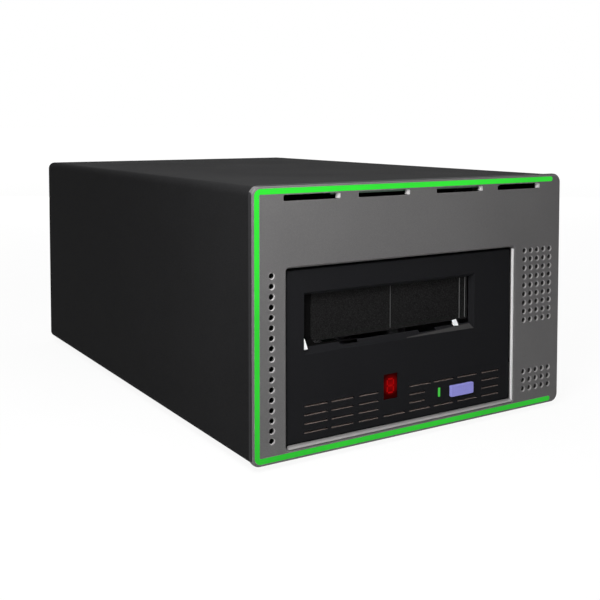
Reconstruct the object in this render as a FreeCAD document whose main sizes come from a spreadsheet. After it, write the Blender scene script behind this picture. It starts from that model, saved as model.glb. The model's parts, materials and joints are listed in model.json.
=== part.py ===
import FreeCAD, Part
import math
import os
import Sketcher

# Data tape drive: a full-height tape mechanism in a free-standing case.
# Frame: X to the right, Y towards the back, Z up, millimetres.
# The origin is the middle of the footprint, on the surface that the feet stand on.

SIZES = {
    # case
    "case_width": 207.0,
    "case_height": 135.0,
    "case_depth": 320.0,
    "case_corner": 5.0,
    "foot_rise": 2.5,
    "foot_radius": 8.0,
    "foot_inset": 23.5,
    "foot_setback": 30.0,
    "panel_thickness": 3.0,
    "panel_edge": 1.8,
    "cover_inset": 0.5,
    "cover_sheet": 1.5,
    "cover_lip": 14.0,
    "tray_sheet": 1.2,
    "tray_flange": 13.0,
    "tray_front_lip": 1.5,
    "tray_rear_lip": 4.0,
    "tray_slot_at": 42.0,
    "tray_slot_length": 60.0,
    "tray_slot_width": 3.0,
    "tray_slot_pitch": 9.0,
    "tray_slot_count": 8,
    "screw_radius": 2.8,
    "screw_rise": 1.4,
    "lip_screw_rise": 1.2,
    "lip_screw_front": 60.0,
    "lip_screw_rear": 70.0,
    "slip_gap": 0.2,
    # front panel openings
    "vent_length": 33.0,
    "vent_height": 3.2,
    "vent_drop": 6.4,
    "vent_corner": 0.8,
    "vent_inner": 25.5,
    "vent_outer": 69.5,
    "hole_radius": 2.0,
    "hole_pitch": 5.0,
    "hole_top": 91.6,
    "side_hole_share": 0.425,
    "side_hole_count": 17,
    "grid_share": 0.228,
    "grid_pitch_share": 0.134,
    "grid_columns": 5,
    "grid_rows": 9,
    "low_grid_rows": 3,
    "low_grid_top": 21.6,
    "strip_margin": 1.5,
    "strip_width": 2.8,
    "strip_depth": 1.6,
    "strip_end_gap": 7.1,
    "feed_at": 45.0,
    "feed_length": 12.0,
    "feed_height": 1.4,
    # mechanism
    "drive_at": -9.0,
    "drive_level": 50.1,
    "drive_width": 146.0,
    "drive_height": 82.5,
    "drive_depth": 203.4,
    "lid_flange": 5.0,
    "opening_width": 150.4,
    "opening_height": 88.8,
    "opening_corner": 1.5,
    "opening_edge": 0.9,
    "bezel_setback": 1.8,
    "bezel_width": 148.2,
    "bezel_height": 86.2,
    "bezel_depth": 12.8,
    "bezel_wall": 2.4,
    "bezel_edge": 1.0,
    # cartridge mouth
    "mouth_at": -17.6,
    "mouth_width": 108.0,
    "mouth_low": 53.9,
    "mouth_height": 26.0,
    "funnel_flare": 1.7,
    "funnel_low": 51.0,
    "funnel_depth": 3.0,
    "notch_width": 11.5,
    "notch_depth": 1.5,
    "notch_left": 27.5,
    "notch_right": 24.0,
    "door_thickness": 1.6,
    "door_gap": 0.8,
    "door_left_gap": 4.4,
    "door_low_gap": 2.3,
    "inlay_inset": 1.7,
    "inlay_pitch": 4.0,
    "inlay_width": 0.5,
    "hinge_radius": 1.4,
    "hinge_fit": 0.05,
    "hinge_length": 4.0,
    # bezel front fittings
    "display_at": -19.5,
    "display_level": 27.0,
    "display_width": 9.5,
    "display_height": 13.6,
    "status_at": 13.2,
    "status_level": 18.8,
    "status_width": 1.5,
    "status_height": 5.0,
    "button_at": 29.0,
    "button_level": 18.1,
    "button_width": 16.5,
    "button_height": 6.2,
    "button_gap": 0.3,
    "button_proud": 1.2,
    "button_travel": 1.0,
    "slit_height": 1.0,
    "slit_pitch": 4.4,
    "slit_low": 12.0,
    # loader
    "carriage_width": 110.2,
    "carriage_length": 70.0,
    "carriage_start": 36.0,
    "carriage_travel": 30.0,
    "carriage_wall": 1.4,
    "carriage_low": 52.4,
    "carriage_high": 76.0,
    "ledge_width": 5.0,
    "rack_depth": 3.5,
    "rack_low": 55.0,
    "rack_high": 59.0,
    "tooth_module": 1.0,
    "gear_teeth": 14,
    "gear_at": 88.0,
    "gear_play": 0.35,
    "rotor_fit": 0.05,
    # reels, rollers and head
    "floor_level": 20.0,
    "floor_sheet": 2.5,
    "hub_at": 83.0,
    "hub_radius": 18.0,
    "hub_top": 51.6,
    "motor_radius": 24.0,
    "motor_height": 22.0,
    "shaft_radius": 2.5,
    "reel_at_x": -34.0,
    "reel_setback": 42.0,
    "reel_radius": 36.0,
    "reel_low": 57.0,
    "reel_width": 14.0,
    "reel_flange": 1.2,
    "roller_radius": 5.0,
    "roller_width": 13.2,
    "post_radius": 1.5,
    "head_at_x": 50.0,
    "head_ahead": 14.0,
    "head_stroke": 1.5,
    "arm_level": 73.0,
    "arm_length": 44.0,
    "arm_at_x": 18.0,
    "arm_behind": 20.0,
    # rear
    "fan_at": 48.0,
    "fan_drop": 49.0,
    "fan_size": 80.0,
    "fan_depth": 25.0,
    "fan_duct": 38.0,
    "fan_hole_pitch": 71.5,
    "fan_hole_radius": 2.15,
    "fan_hub": 17.0,
    "fan_tip_gap": 0.9,
    "fan_blades": 7,
    "guard_thickness": 1.8,
    "guard_ring": 1.6,
    "rear_slot_first": 6.0,
    "rear_slot_inset": 11.5,
    "rear_slot_count": 15,
    "rear_slot_level": 22.0,
    "rear_slot_width": 2.4,
    "rear_slot_height": 20.0,
    "inlet_inset": 33.5,
    "inlet_level": 26.0,
    "inlet_width": 27.2,
    "inlet_height": 19.6,
    "inlet_depth": 24.0,
    "socket_width": 24.4,
    "socket_height": 16.4,
    "socket_depth": 18.0,
    "switch_inset": 71.5,
    "switch_width": 12.6,
    "switch_height": 19.0,
    "port_inset": 47.5,
    "port_drop": 57.0,
    "port_pitch": 26.0,
    "port_width": 47.0,
    "port_height": 7.0,
    # supply
    "supply_left": -14.0,
    "supply_side_gap": 4.5,
    "supply_gap": 12.0,
    "supply_end_gap": 6.0,
    "supply_fan_gap": 2.8,
    "board_thickness": 1.6,
    "rail_sheet": 1.2,
    "rail_height": 33.0,
    "rail_foot": 14.0,
    "rail_front": 30.0,
    "rail_end_gap": 8.0,
    "ribbon_width": 43.0,
    "ribbon_thickness": 0.9,
    "ribbon_bend_share": 0.36,
}


class Size:
    """A length that knows its number and the sheet expression that gives it."""

    def __init__(self, number, text=None):
        self.number = float(number)
        self.text = text or f"({self.number:.9g})"

    def __float__(self):
        return self.number

    def joined(self, other, sign, number):
        return Size(number, f"({self.text} {sign} {as_size(other).text})")

    def __add__(self, other):
        return self.joined(other, "+", self.number + float(other))

    def __sub__(self, other):
        return self.joined(other, "-", self.number - float(other))

    def __mul__(self, other):
        return self.joined(other, "*", self.number * float(other))

    def __truediv__(self, other):
        return self.joined(other, "/", self.number / float(other))

    def __neg__(self):
        return Size(0) - self

    __radd__ = __add__
    __rmul__ = __mul__

    def __rsub__(self, other):
        return as_size(other) - self


def as_size(value):
    return value if isinstance(value, Size) else Size(value)


class Sheet:
    """The driving dimensions, kept in the document's spreadsheet."""

    def __init__(self, document, table):
        self.cells = document.addObject("Spreadsheet::Sheet", "Sizes")
        for row, (name, number) in enumerate(table.items(), start=1):
            self.cells.set(f"A{row}", name)
            self.cells.set(f"B{row}", str(number))
            self.cells.setAlias(f"B{row}", name)
        document.recompute()

    def __getattr__(self, name):
        return Size(self.cells.get(name), f"Sizes.{name}")


doc = FreeCAD.newDocument("data_tape_drive")
s = Sheet(doc, SIZES)
nodes = {}

FRONT = -(s.case_depth + s.guard_thickness) / 2


def back(distance):
    """Y of a point this far behind the panel's front face."""
    return FRONT + distance


def up(distance):
    """Z of a point this far above the underside of the case."""
    return s.foot_rise + distance


def bind(thing, path, size):
    thing.setExpression(path, as_size(size).text)


def keep(node, thing):
    """Makes this object the sub-part that the file NODE.step holds."""
    thing.Label = node
    nodes[node] = thing
    return thing


def place(thing, x, y, z, turn=None):
    """Sets an object down at bound coordinates, turned by (axis, degrees)."""
    if turn:
        thing.Placement.Rotation = FreeCAD.Rotation(FreeCAD.Vector(*turn[0]), turn[1])
    for letter, value in zip("xyz", (x, y, z)):
        bind(thing, f"Placement.Base.{letter}", value)
    return thing


# ---- sketches and features -------------------------------------------------------------

PLANES = {"XY": ("XY_Plane", 1), "XZ": ("XZ_Plane", -1), "YZ": ("YZ_Plane", 1)}
AXES = {"X": "X_Axis", "Y": "Y_Axis", "Z": "Z_Axis"}


def new_body(node):
    return keep(node, doc.addObject("PartDesign::Body", node))


def origin_part(body, role):
    return next(part for part in body.Origin.OriginFeatures if part.Role == role)


def sketch_at(body, plane, level):
    role, sense = PLANES[plane]
    sketch = body.newObject("Sketcher::SketchObject", f"{body.Name}_sketch")
    sketch.AttachmentSupport = [(origin_part(body, role), "")]
    sketch.MapMode = "FlatFace"
    bind(sketch, "AttachmentOffset.Base.z", as_size(level) * sense)
    return sketch


def pin_point(sketch, kind, item, end, size):
    """Ties one coordinate of a sketch point to a size."""
    size = as_size(size)
    if abs(size.number) < 1e-9:
        axis = -2 if kind == "DistanceX" else -1
        sketch.addConstraint(Sketcher.Constraint("PointOnObject", item, end, axis))
        return
    index = sketch.addConstraint(Sketcher.Constraint(kind, -1, 1, item, end, size.number))
    bind(sketch, f"Constraints[{index}]", size)


def polygon(points):
    """A closed outline with straight sides through bound points."""
    def draw(sketch):
        flat = [FreeCAD.Vector(float(x), float(y), 0) for x, y in points]
        ends = flat[1:] + flat[:1]
        lines = [sketch.addGeometry(Part.LineSegment(a, b)) for a, b in zip(flat, ends)]
        for here, line in enumerate(lines):
            following = lines[(here + 1) % len(lines)]
            sketch.addConstraint(Sketcher.Constraint("Coincident", line, 2, following, 1))
        for line, (x, y) in zip(lines, points):
            pin_point(sketch, "DistanceX", line, 1, x)
            pin_point(sketch, "DistanceY", line, 1, y)
    return draw


def square_outline(corners, radii=0):
    """A closed outline of level and upright sides, each corner rounded by its radius."""
    count = len(corners)
    if not isinstance(radii, (list, tuple)):
        radii = [radii] * count
    radii = [as_size(radius) for radius in radii]

    def draw(sketch):
        flat = [FreeCAD.Vector(float(x), float(y), 0) for x, y in corners]
        run = [(flat[(i + 1) % count] - flat[i]).normalize() for i in range(count)]
        lines = []
        for i in range(count):
            first = flat[i] + run[i] * float(radii[i])
            last = flat[(i + 1) % count] - run[i] * float(radii[(i + 1) % count])
            lines.append(sketch.addGeometry(Part.LineSegment(first, last)))
        for i in range(count):
            join_corner(sketch, lines[i - 1], lines[i], flat[i], run[i - 1], run[i], radii[i])
        for i, line in enumerate(lines):
            level = abs(run[i].y) < 0.5
            sketch.addConstraint(Sketcher.Constraint("Horizontal" if level else "Vertical", line))
            kind = "DistanceY" if level else "DistanceX"
            pin_point(sketch, kind, line, 1, corners[i][1 if level else 0])
    return draw


def join_corner(sketch, before, after, corner, came, goes, radius):
    """Joins two sides of an outline, by a tangent arc where the corner is rounded."""
    if radius.number == 0:
        sketch.addConstraint(Sketcher.Constraint("Coincident", before, 2, after, 1))
        return
    reach = radius.number
    centre = corner - came * reach + goes * reach
    left_turn = came.x * goes.y - came.y * goes.x > 0
    first, last = (corner - came * reach - centre), (corner + goes * reach - centre)
    if not left_turn:
        first, last = last, first
    start = math.atan2(first.y, first.x)
    stop = math.atan2(last.y, last.x)
    if stop < start:
        stop += 2 * math.pi
    circle = Part.Circle(centre, FreeCAD.Vector(0, 0, 1), reach)
    arc = sketch.addGeometry(Part.ArcOfCircle(circle, start, stop))
    ends = (1, 2) if left_turn else (2, 1)
    sketch.addConstraint(Sketcher.Constraint("Tangent", before, 2, arc, ends[0]))
    sketch.addConstraint(Sketcher.Constraint("Tangent", arc, ends[1], after, 1))
    index = sketch.addConstraint(Sketcher.Constraint("Radius", arc, reach))
    bind(sketch, f"Constraints[{index}]", radius)


def rectangle(left, right, low, high, radius=0):
    corners = [(left, low), (right, low), (right, high), (left, high)]
    return square_outline(corners, radius)


def centred(x, y, width, height, radius=0):
    width, height = as_size(width), as_size(height)
    return rectangle(x - width / 2, x + width / 2, y - height / 2, y + height / 2, radius)


def disc(x, y, radius):
    def draw(sketch):
        centre = FreeCAD.Vector(float(x), float(y), 0)
        circle = Part.Circle(centre, FreeCAD.Vector(0, 0, 1), float(radius))
        item = sketch.addGeometry(circle)
        pin_point(sketch, "DistanceX", item, 3, x)
        pin_point(sketch, "DistanceY", item, 3, y)
        index = sketch.addConstraint(Sketcher.Constraint("Radius", item, float(radius)))
        bind(sketch, f"Constraints[{index}]", as_size(radius))
    return draw


def extrude(body, kind, plane, low, high, *loops):
    """Pads or pockets the loops from one level to a higher one along the plane's normal."""
    sketch = sketch_at(body, plane, low)
    for loop in loops:
        loop(sketch)
    feature = body.newObject(f"PartDesign::{kind}", f"{body.Name}_{kind.lower()}")
    feature.Profile = sketch
    bind(feature, "Length", as_size(high) - low)
    feature.Reversed = (kind == "Pad") == (plane == "XZ")
    return feature


def pad(body, plane, low, high, *loops):
    return extrude(body, "Pad", plane, low, high, *loops)


def pocket(body, plane, low, high, *loops):
    return extrude(body, "Pocket", plane, low, high, *loops)


def spin(body, points, kind="Revolution"):
    """Revolves an outline of (radius, height) points about the body's own Z axis."""
    sketch = sketch_at(body, "XZ", 0)
    polygon(points)(sketch)
    feature = body.newObject(f"PartDesign::{kind}", f"{body.Name}_{kind.lower()}")
    feature.Profile = sketch
    feature.ReferenceAxis = (sketch, ["V_Axis"])
    return feature


def row(body, feature, axis, pitch, count, reverse=False):
    pattern = body.newObject("PartDesign::LinearPattern", f"{body.Name}_row")
    pattern.Originals = [feature]
    pattern.Direction = (origin_part(body, AXES[axis]), [""])
    pattern.Mode = "Spacing"
    pattern.Reversed = reverse
    bind(pattern, "Offset", pitch)
    bind(pattern, "Occurrences", count)
    body.Tip = pattern
    return pattern


def ring(body, feature, count):
    """Repeats a feature evenly about the body's own Z axis."""
    pattern = body.newObject("PartDesign::PolarPattern", f"{body.Name}_ring")
    pattern.Originals = [feature]
    pattern.Axis = (origin_part(body, "Z_Axis"), [""])
    pattern.Angle = 360
    bind(pattern, "Occurrences", count)
    body.Tip = pattern
    return pattern


def dress(body, kind, size, wanted):
    """Fillets or chamfers the edges of the body so far that the test picks."""
    doc.recompute()
    base = body.Tip
    edges = [f"Edge{i}" for i, edge in enumerate(base.Shape.Edges, start=1) if wanted(edge)]
    feature = body.newObject(f"PartDesign::{kind}", f"{body.Name}_{kind.lower()}")
    feature.Base = (base, edges)
    bind(feature, "Radius" if kind == "Fillet" else "Size", size)
    return feature


def on_level(axis, level):
    """Picks edges that lie wholly at one coordinate."""
    low, high = f"{axis}Min", f"{axis}Max"

    def test(edge):
        box = edge.BoundBox
        near = abs(getattr(box, low) - float(level)) < 1e-4
        return near and abs(getattr(box, high) - float(level)) < 1e-4
    return test


# ---- primitives ------------------------------------------------------------------------

def block(name, x, y, z):
    """A box between pairs of bound coordinates."""
    box = doc.addObject("Part::Box", name)
    for key, (low, high) in zip(("Length", "Width", "Height"), (x, y, z)):
        bind(box, key, as_size(high) - low)
    return place(box, x[0], y[0], z[0])


def rod(name, axis, x, y, z, radius, length):
    """A cylinder that starts at a point and runs along an axis."""
    turns = {"X": ((0, 1, 0), 90), "Y": ((1, 0, 0), -90), "Z": None}
    cylinder = doc.addObject("Part::Cylinder", name)
    bind(cylinder, "Radius", radius)
    bind(cylinder, "Height", length)
    return place(cylinder, x, y, z, turns[axis])


def join(name, things):
    fused = doc.addObject("Part::MultiFuse", name)
    fused.Shapes = things
    return fused


def cut(name, base, tool):
    result = doc.addObject("Part::Cut", name)
    result.Base = base
    result.Tool = tool
    return result


def group(node, things):
    """Separate solids of one kind, kept in one node."""
    compound = doc.addObject("Part::Compound", node)
    compound.Links = things
    return keep(node, compound)


def own_shape(node, shape):
    feature = doc.addObject("Part::Feature", node)
    feature.Shape = shape
    return keep(node, feature)


# ---- case ------------------------------------------------------------------------------

HALF_CASE = s.case_width / 2
COVER_HALF = HALF_CASE - s.cover_inset
COVER_LOW = up(s.cover_inset)
COVER_TOP = up(s.case_height - s.cover_inset)
INNER_HALF = COVER_HALF - s.cover_sheet
INNER_LOW = COVER_LOW + s.cover_sheet
INNER_TOP = COVER_TOP - s.cover_sheet
PANEL_BACK = back(s.panel_thickness)
CASE_BACK = back(s.case_depth)
REAR_FACE = CASE_BACK - s.tray_sheet
TRAY_TOP = INNER_LOW + s.tray_sheet
FAN_X, FAN_Z = s.fan_at, up(s.case_height - s.fan_drop)
FAN_FRONT = REAR_FACE - s.fan_depth
INLET_X = s.inlet_inset - HALF_CASE
SWITCH_X = s.switch_inset - HALF_CASE
PORT_X, PORT_Z = s.port_inset - HALF_CASE, up(s.case_height - s.port_drop)
OPENING = (s.drive_at, up(s.drive_level), s.opening_width, s.opening_height)
OPENING_LEFT = s.drive_at - s.opening_width / 2
OPENING_RIGHT = s.drive_at + s.opening_width / 2
LEFT_MARGIN = OPENING_LEFT + HALF_CASE
RIGHT_MARGIN = HALF_CASE - OPENING_RIGHT
VENT_Z = up(s.case_height - s.vent_drop)


def strip_path(gap):
    """The C-shaped outline of the light strip: top, left and bottom runs."""
    outer = s.strip_margin + gap
    inner = s.strip_margin + s.strip_width - gap
    end = HALF_CASE - s.strip_end_gap - gap
    corners = [
        (end, up(s.case_height - outer)), (-HALF_CASE + outer, up(s.case_height - outer)),
        (-HALF_CASE + outer, up(outer)), (end, up(outer)),
        (end, up(inner)), (-HALF_CASE + inner, up(inner)),
        (-HALF_CASE + inner, up(s.case_height - inner)), (end, up(s.case_height - inner)),
    ]
    tip = (s.strip_width - gap * 2) * 0.45
    outside = s.case_corner - s.strip_margin
    inside = s.strip_width * 0.25
    return square_outline(corners, [tip, outside, outside, tip, tip, inside, inside, tip])


def make_front_panel():
    body = new_body("front_panel")
    low, high = up(0), up(s.case_height)
    outline = rectangle(-HALF_CASE, HALF_CASE, low, high, s.case_corner)
    pad(body, "XZ", back(0), PANEL_BACK, outline)
    dress(body, "Fillet", s.panel_edge, on_level("Y", back(0)))
    pocket(body, "XZ", back(0), PANEL_BACK, centred(*OPENING, s.opening_corner))
    half = float(s.opening_width) / 2 + 1
    at = on_level("Y", back(0))
    middle = float(s.drive_at)
    dress(body, "Chamfer", s.opening_edge,
          lambda edge: at(edge) and abs(edge.CenterOfMass.x - middle) < half
          and edge.BoundBox.ZMin > float(up(s.strip_margin)) + 1
          and edge.BoundBox.ZMax < float(VENT_Z))
    vents = [centred(side * at_x, VENT_Z, s.vent_length, s.vent_height, s.vent_corner)
             for side in (-1, 1) for at_x in (s.vent_inner, s.vent_outer)]
    pocket(body, "XZ", back(0), PANEL_BACK, *vents)
    pocket(body, "XZ", back(0), back(s.strip_depth), strip_path(as_size(0)))
    feeds = [centred(side * s.feed_at, up(s.case_height - s.strip_margin - s.strip_width / 2),
                     s.feed_length, s.feed_height) for side in (-1, 1)]
    pocket(body, "XZ", back(s.strip_depth), PANEL_BACK, *feeds)
    side_at = OPENING_LEFT - LEFT_MARGIN * s.side_hole_share
    grid_at = OPENING_RIGHT + RIGHT_MARGIN * s.grid_share
    across = RIGHT_MARGIN * s.grid_pitch_share
    for at_x, top, columns, rows in (
            (side_at, s.hole_top, 1, s.side_hole_count),
            (grid_at, s.hole_top, s.grid_columns, s.grid_rows),
            (grid_at, s.low_grid_top, s.grid_columns, s.low_grid_rows)):
        first_row = [disc(at_x + across * i, up(top), s.hole_radius)
                     for i in range(int(float(columns)))]
        holes = pocket(body, "XZ", back(0), PANEL_BACK, *first_row)
        row(body, holes, "Z", s.hole_pitch, rows, reverse=True)


def make_light_strip():
    body = new_body("light_strip")
    gap = s.slip_gap / 4
    pad(body, "XZ", back(gap), back(s.strip_depth), strip_path(gap))
    level = up(s.case_height - s.strip_margin - s.strip_width / 2)
    legs = [centred(side * s.feed_at, level, s.feed_length - s.slip_gap, s.feed_height - s.slip_gap)
            for side in (-1, 1)]
    pad(body, "XZ", back(s.strip_depth), PANEL_BACK, *legs)


def make_light_board():
    """A narrow board under the case top, with one light behind each leg of the strip."""
    length = s.feed_at * 2 + s.feed_length * 2
    level = up(s.case_height - s.strip_margin - s.strip_width)
    board = block("light_strip_board", (-length / 2, length / 2),
                  (PANEL_BACK, PANEL_BACK + 10), (level - s.board_thickness, level))
    lights = [block("board_light", (side * s.feed_at - 2, side * s.feed_at + 2),
                    (PANEL_BACK + s.slip_gap, PANEL_BACK + 2), (level, level + s.feed_height))
              for side in (-1, 1)]
    keep("light_board", join("light_board", [board, *lights]))


def make_case_cover():
    """A wrapped sheet shell, open at both ends and along the middle of its underside."""
    body = new_body("case_cover")
    corner = s.case_corner - s.cover_inset
    outer = rectangle(-COVER_HALF, COVER_HALF, COVER_LOW, COVER_TOP, corner)
    pad(body, "XZ", PANEL_BACK, CASE_BACK, outer)
    inner = rectangle(-INNER_HALF, INNER_HALF, INNER_LOW, INNER_TOP, corner - s.cover_sheet)
    pocket(body, "XZ", PANEL_BACK, CASE_BACK, inner)
    gap = COVER_HALF - s.cover_lip
    pocket(body, "XZ", PANEL_BACK, CASE_BACK, rectangle(-gap, gap, COVER_LOW - 1, INNER_LOW + 1))


def make_base_tray():
    """A folded pan that lies on the cover's lips, with upturned sides and ends."""
    body = new_body("base_tray")
    side = INNER_HALF - s.slip_gap
    inner = side - s.tray_sheet
    bend = s.case_corner - s.cover_inset - s.cover_sheet + s.slip_gap
    high = INNER_LOW + s.tray_flange
    corners = [(-side, INNER_LOW), (side, INNER_LOW), (side, high), (inner, high),
               (inner, TRAY_TOP), (-inner, TRAY_TOP), (-inner, high), (-side, high)]
    tight = bend - s.tray_sheet
    start = PANEL_BACK + s.slip_gap
    pad(body, "XZ", start, REAR_FACE,
        square_outline(corners, [bend, bend, 0, 0, tight, tight, 0, 0]))
    end = inner - bend
    pad(body, "XZ", start, start + s.tray_sheet,
        rectangle(-end, end, TRAY_TOP, TRAY_TOP + s.tray_front_lip))
    pad(body, "XZ", REAR_FACE - s.tray_sheet, REAR_FACE,
        rectangle(-end, end, TRAY_TOP, TRAY_TOP + s.tray_rear_lip))
    last = (s.tray_slot_count - 1) * s.tray_slot_pitch
    first = CASE_BACK - s.supply_end_gap - s.tray_slot_pitch - last
    slot = pocket(body, "XY", INNER_LOW - 1, TRAY_TOP + 1,
                  centred(s.tray_slot_at, first, s.tray_slot_length, s.tray_slot_width,
                          s.tray_slot_width * 0.47))
    row(body, slot, "Y", s.tray_slot_pitch, s.tray_slot_count)


def make_rear_panel():
    body = new_body("rear_panel")
    side = INNER_HALF - s.slip_gap
    corner = s.case_corner - s.cover_inset - s.cover_sheet
    outline = rectangle(-side, side, INNER_LOW + s.slip_gap, INNER_TOP - s.slip_gap, corner)
    pad(body, "XZ", REAR_FACE, CASE_BACK, outline)
    half = s.fan_hole_pitch / 2
    bolts = [disc(FAN_X + i * half, FAN_Z + j * half, s.fan_hole_radius)
             for i in (-1, 1) for j in (-1, 1)]
    inlet = centred(INLET_X, up(s.inlet_level), s.inlet_width + s.slip_gap * 2,
                    s.inlet_height + s.slip_gap * 2, 1)
    switch = centred(SWITCH_X, up(s.inlet_level), s.switch_width + s.slip_gap * 2,
                     s.switch_height + s.slip_gap * 2)
    ports = [centred(PORT_X, PORT_Z + s.port_pitch * i, s.port_width + 3,
                     s.port_height + 3, 1) for i in (0, 1)]
    pocket(body, "XZ", REAR_FACE, CASE_BACK, disc(FAN_X, FAN_Z, s.fan_duct), *bolts,
           inlet, switch, *ports)
    slot = pocket(body, "XZ", REAR_FACE, CASE_BACK,
                  centred(s.rear_slot_first, up(s.rear_slot_level), s.rear_slot_width,
                          s.rear_slot_height, s.rear_slot_width * 0.46))
    pitch = (INNER_HALF - s.rear_slot_inset - s.rear_slot_first) / (s.rear_slot_count - 1)
    row(body, slot, "X", pitch, s.rear_slot_count)


def make_rubber_feet():
    """Four tapered feet under the tray, set in from the cover's lips."""
    feet = []
    for i, side in enumerate((-1, 1)):
        for j, level in enumerate((s.foot_setback, s.case_depth - s.foot_setback)):
            foot = doc.addObject("Part::Cone", f"foot_{i}{j}")
            bind(foot, "Radius1", s.foot_radius - 1)
            bind(foot, "Radius2", s.foot_radius)
            bind(foot, "Height", INNER_LOW)
            feet.append(place(foot, side * (HALF_CASE - s.foot_inset), back(level), 0))
    group("rubber_feet", feet)


def make_case_screws():
    """Low round heads that hold the cover and the tray to the rear panel and to each other."""
    heads = []
    for i, side in enumerate((-1, 1)):
        at = side * (INNER_HALF - 6)
        for j, level in enumerate((COVER_LOW + 12, COVER_TOP - 10)):
            heads.append(rod(f"rear_screw_{i}{j}", "Y", at, CASE_BACK, level,
                             s.screw_radius, s.screw_rise))
        lip = side * (COVER_HALF - s.cover_lip / 2)
        for j, depth in enumerate((s.lip_screw_front, s.case_depth - s.lip_screw_rear)):
            heads.append(rod(f"lip_screw_{i}{j}", "Z", lip, back(depth),
                             COVER_LOW - s.lip_screw_rise, s.screw_radius, s.lip_screw_rise))
    group("case_screws", heads)


# ---- front fittings of the mechanism ---------------------------------------------------

BEZEL_FRONT = back(s.bezel_setback)
BEZEL_BACK = BEZEL_FRONT + s.bezel_depth
BEZEL_WALL_BACK = BEZEL_FRONT + s.bezel_wall
MOUTH_BACK = BEZEL_FRONT + s.funnel_depth
MOUTH_LOW = up(s.mouth_low)
MOUTH_TOP = MOUTH_LOW + s.mouth_height
MOUTH_HALF = s.mouth_width / 2
DOOR_FRONT = MOUTH_BACK + s.slip_gap
DOOR_BACK = DOOR_FRONT + s.door_thickness
HINGE_Y = DOOR_FRONT + s.hinge_radius + 0.4
HINGE_Z = MOUTH_TOP + s.hinge_radius + 0.2


# Louvre slits, from the mechanism's middle: (start, end, the rows that have this run).
SLIT_RUNS = [(-64.0, -50.4, (0, 1, 2, 3)), (-48.0, -34.4, (0, 1, 2, 3)),
             (-31.1, -18.6, (0, 1, 2, 3)), (-15.2, -1.2, (0,)), (1.8, 16.3, (0, 3)),
             (1.8, 12.6, (1, 2)), (18.6, 32.4, (0, 3)), (35.3, 49.6, (0, 3)),
             (53.1, 65.9, (0, 1, 2, 3))]


def slit_loops():
    """Outlines of the louvre slits: short runs in four level rows."""
    return [centred(s.drive_at + (start + end) / 2, up(s.slit_low + s.slit_pitch * level),
                    end - start, s.slit_height)
            for start, end, levels in SLIT_RUNS for level in levels]


def make_drive_bezel():
    """The moulded front: a hollow frame with a flared cartridge mouth and louvre slits."""
    body = new_body("drive_bezel")
    centre = (s.drive_at, up(s.drive_level))
    outer = centred(*centre, s.bezel_width, s.bezel_height, s.opening_corner)
    pad(body, "XZ", BEZEL_FRONT, BEZEL_BACK, outer)
    dress(body, "Fillet", s.bezel_edge, on_level("Y", BEZEL_FRONT))
    hollow = centred(*centre, s.bezel_width - s.bezel_wall * 2, s.bezel_height - s.bezel_wall * 2)
    pocket(body, "XZ", BEZEL_WALL_BACK, BEZEL_BACK, hollow)
    left, right = s.mouth_at - MOUTH_HALF, s.mouth_at + MOUTH_HALF
    rim = s.funnel_flare + 1.6
    pad(body, "XZ", BEZEL_WALL_BACK, MOUTH_BACK,
        rectangle(left - rim, right + rim, up(s.funnel_low) - 1.6, MOUTH_TOP + rim))
    first = sketch_at(body, "XZ", BEZEL_FRONT)
    flare = s.funnel_flare
    rectangle(left - flare, right + flare, up(s.funnel_low), MOUTH_TOP + flare)(first)
    second = sketch_at(body, "XZ", MOUTH_BACK)
    rectangle(left, right, MOUTH_LOW, MOUTH_TOP)(second)
    funnel = body.newObject("PartDesign::SubtractiveLoft", "mouth_funnel")
    funnel.Profile = first
    funnel.Sections = [second]
    funnel.Ruled = True
    notches = [centred(s.mouth_at + at, MOUTH_LOW, s.notch_width, s.notch_depth * 2)
               for at in (-s.notch_left, s.notch_right)]
    pocket(body, "XZ", BEZEL_FRONT, MOUTH_BACK, *notches)
    gap = s.button_gap * 2
    fittings = [
        centred(s.display_at, up(s.display_level), s.display_width, s.display_height, 0.5),
        centred(s.status_at, up(s.status_level), s.status_width, s.status_height, 0.3),
        centred(s.button_at, up(s.button_level), s.button_width + gap, s.button_height + gap, 0.6)]
    pocket(body, "XZ", BEZEL_FRONT, BEZEL_WALL_BACK, *fittings, *slit_loops())


def make_display():
    pane = new_body("display_window")
    gap = s.slip_gap
    start = BEZEL_FRONT + 1
    pad(pane, "XZ", start, BEZEL_WALL_BACK,
        centred(s.display_at, up(s.display_level), s.display_width - gap, s.display_height - gap, 0.4))
    pad(pane, "XZ", BEZEL_WALL_BACK, BEZEL_WALL_BACK + 2,
        centred(s.display_at, up(s.display_level), s.display_width + 3, s.display_height + 3))
    light = new_body("status_light")
    pad(light, "XZ", BEZEL_FRONT - 0.2, BEZEL_WALL_BACK + 2,
        centred(s.status_at, up(s.status_level), s.status_width - gap, s.status_height - gap, 0.2))
    board = new_body("display_board")
    start = BEZEL_WALL_BACK + 2
    left, right = s.display_at - s.display_width, s.button_at + s.button_width
    pad(board, "XZ", start, start + s.board_thickness,
        rectangle(left, right, up(s.display_level) - 16, up(s.display_level) + 10))
    slot = centred(s.button_at, up(s.button_level), 7, 4)
    pocket(board, "XZ", start, start + s.board_thickness, slot)
    switch = new_body("button_switch")
    start = start + s.board_thickness
    pad(switch, "XZ", start, start + 4, centred(s.button_at, up(s.button_level), 10, 7))


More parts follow.
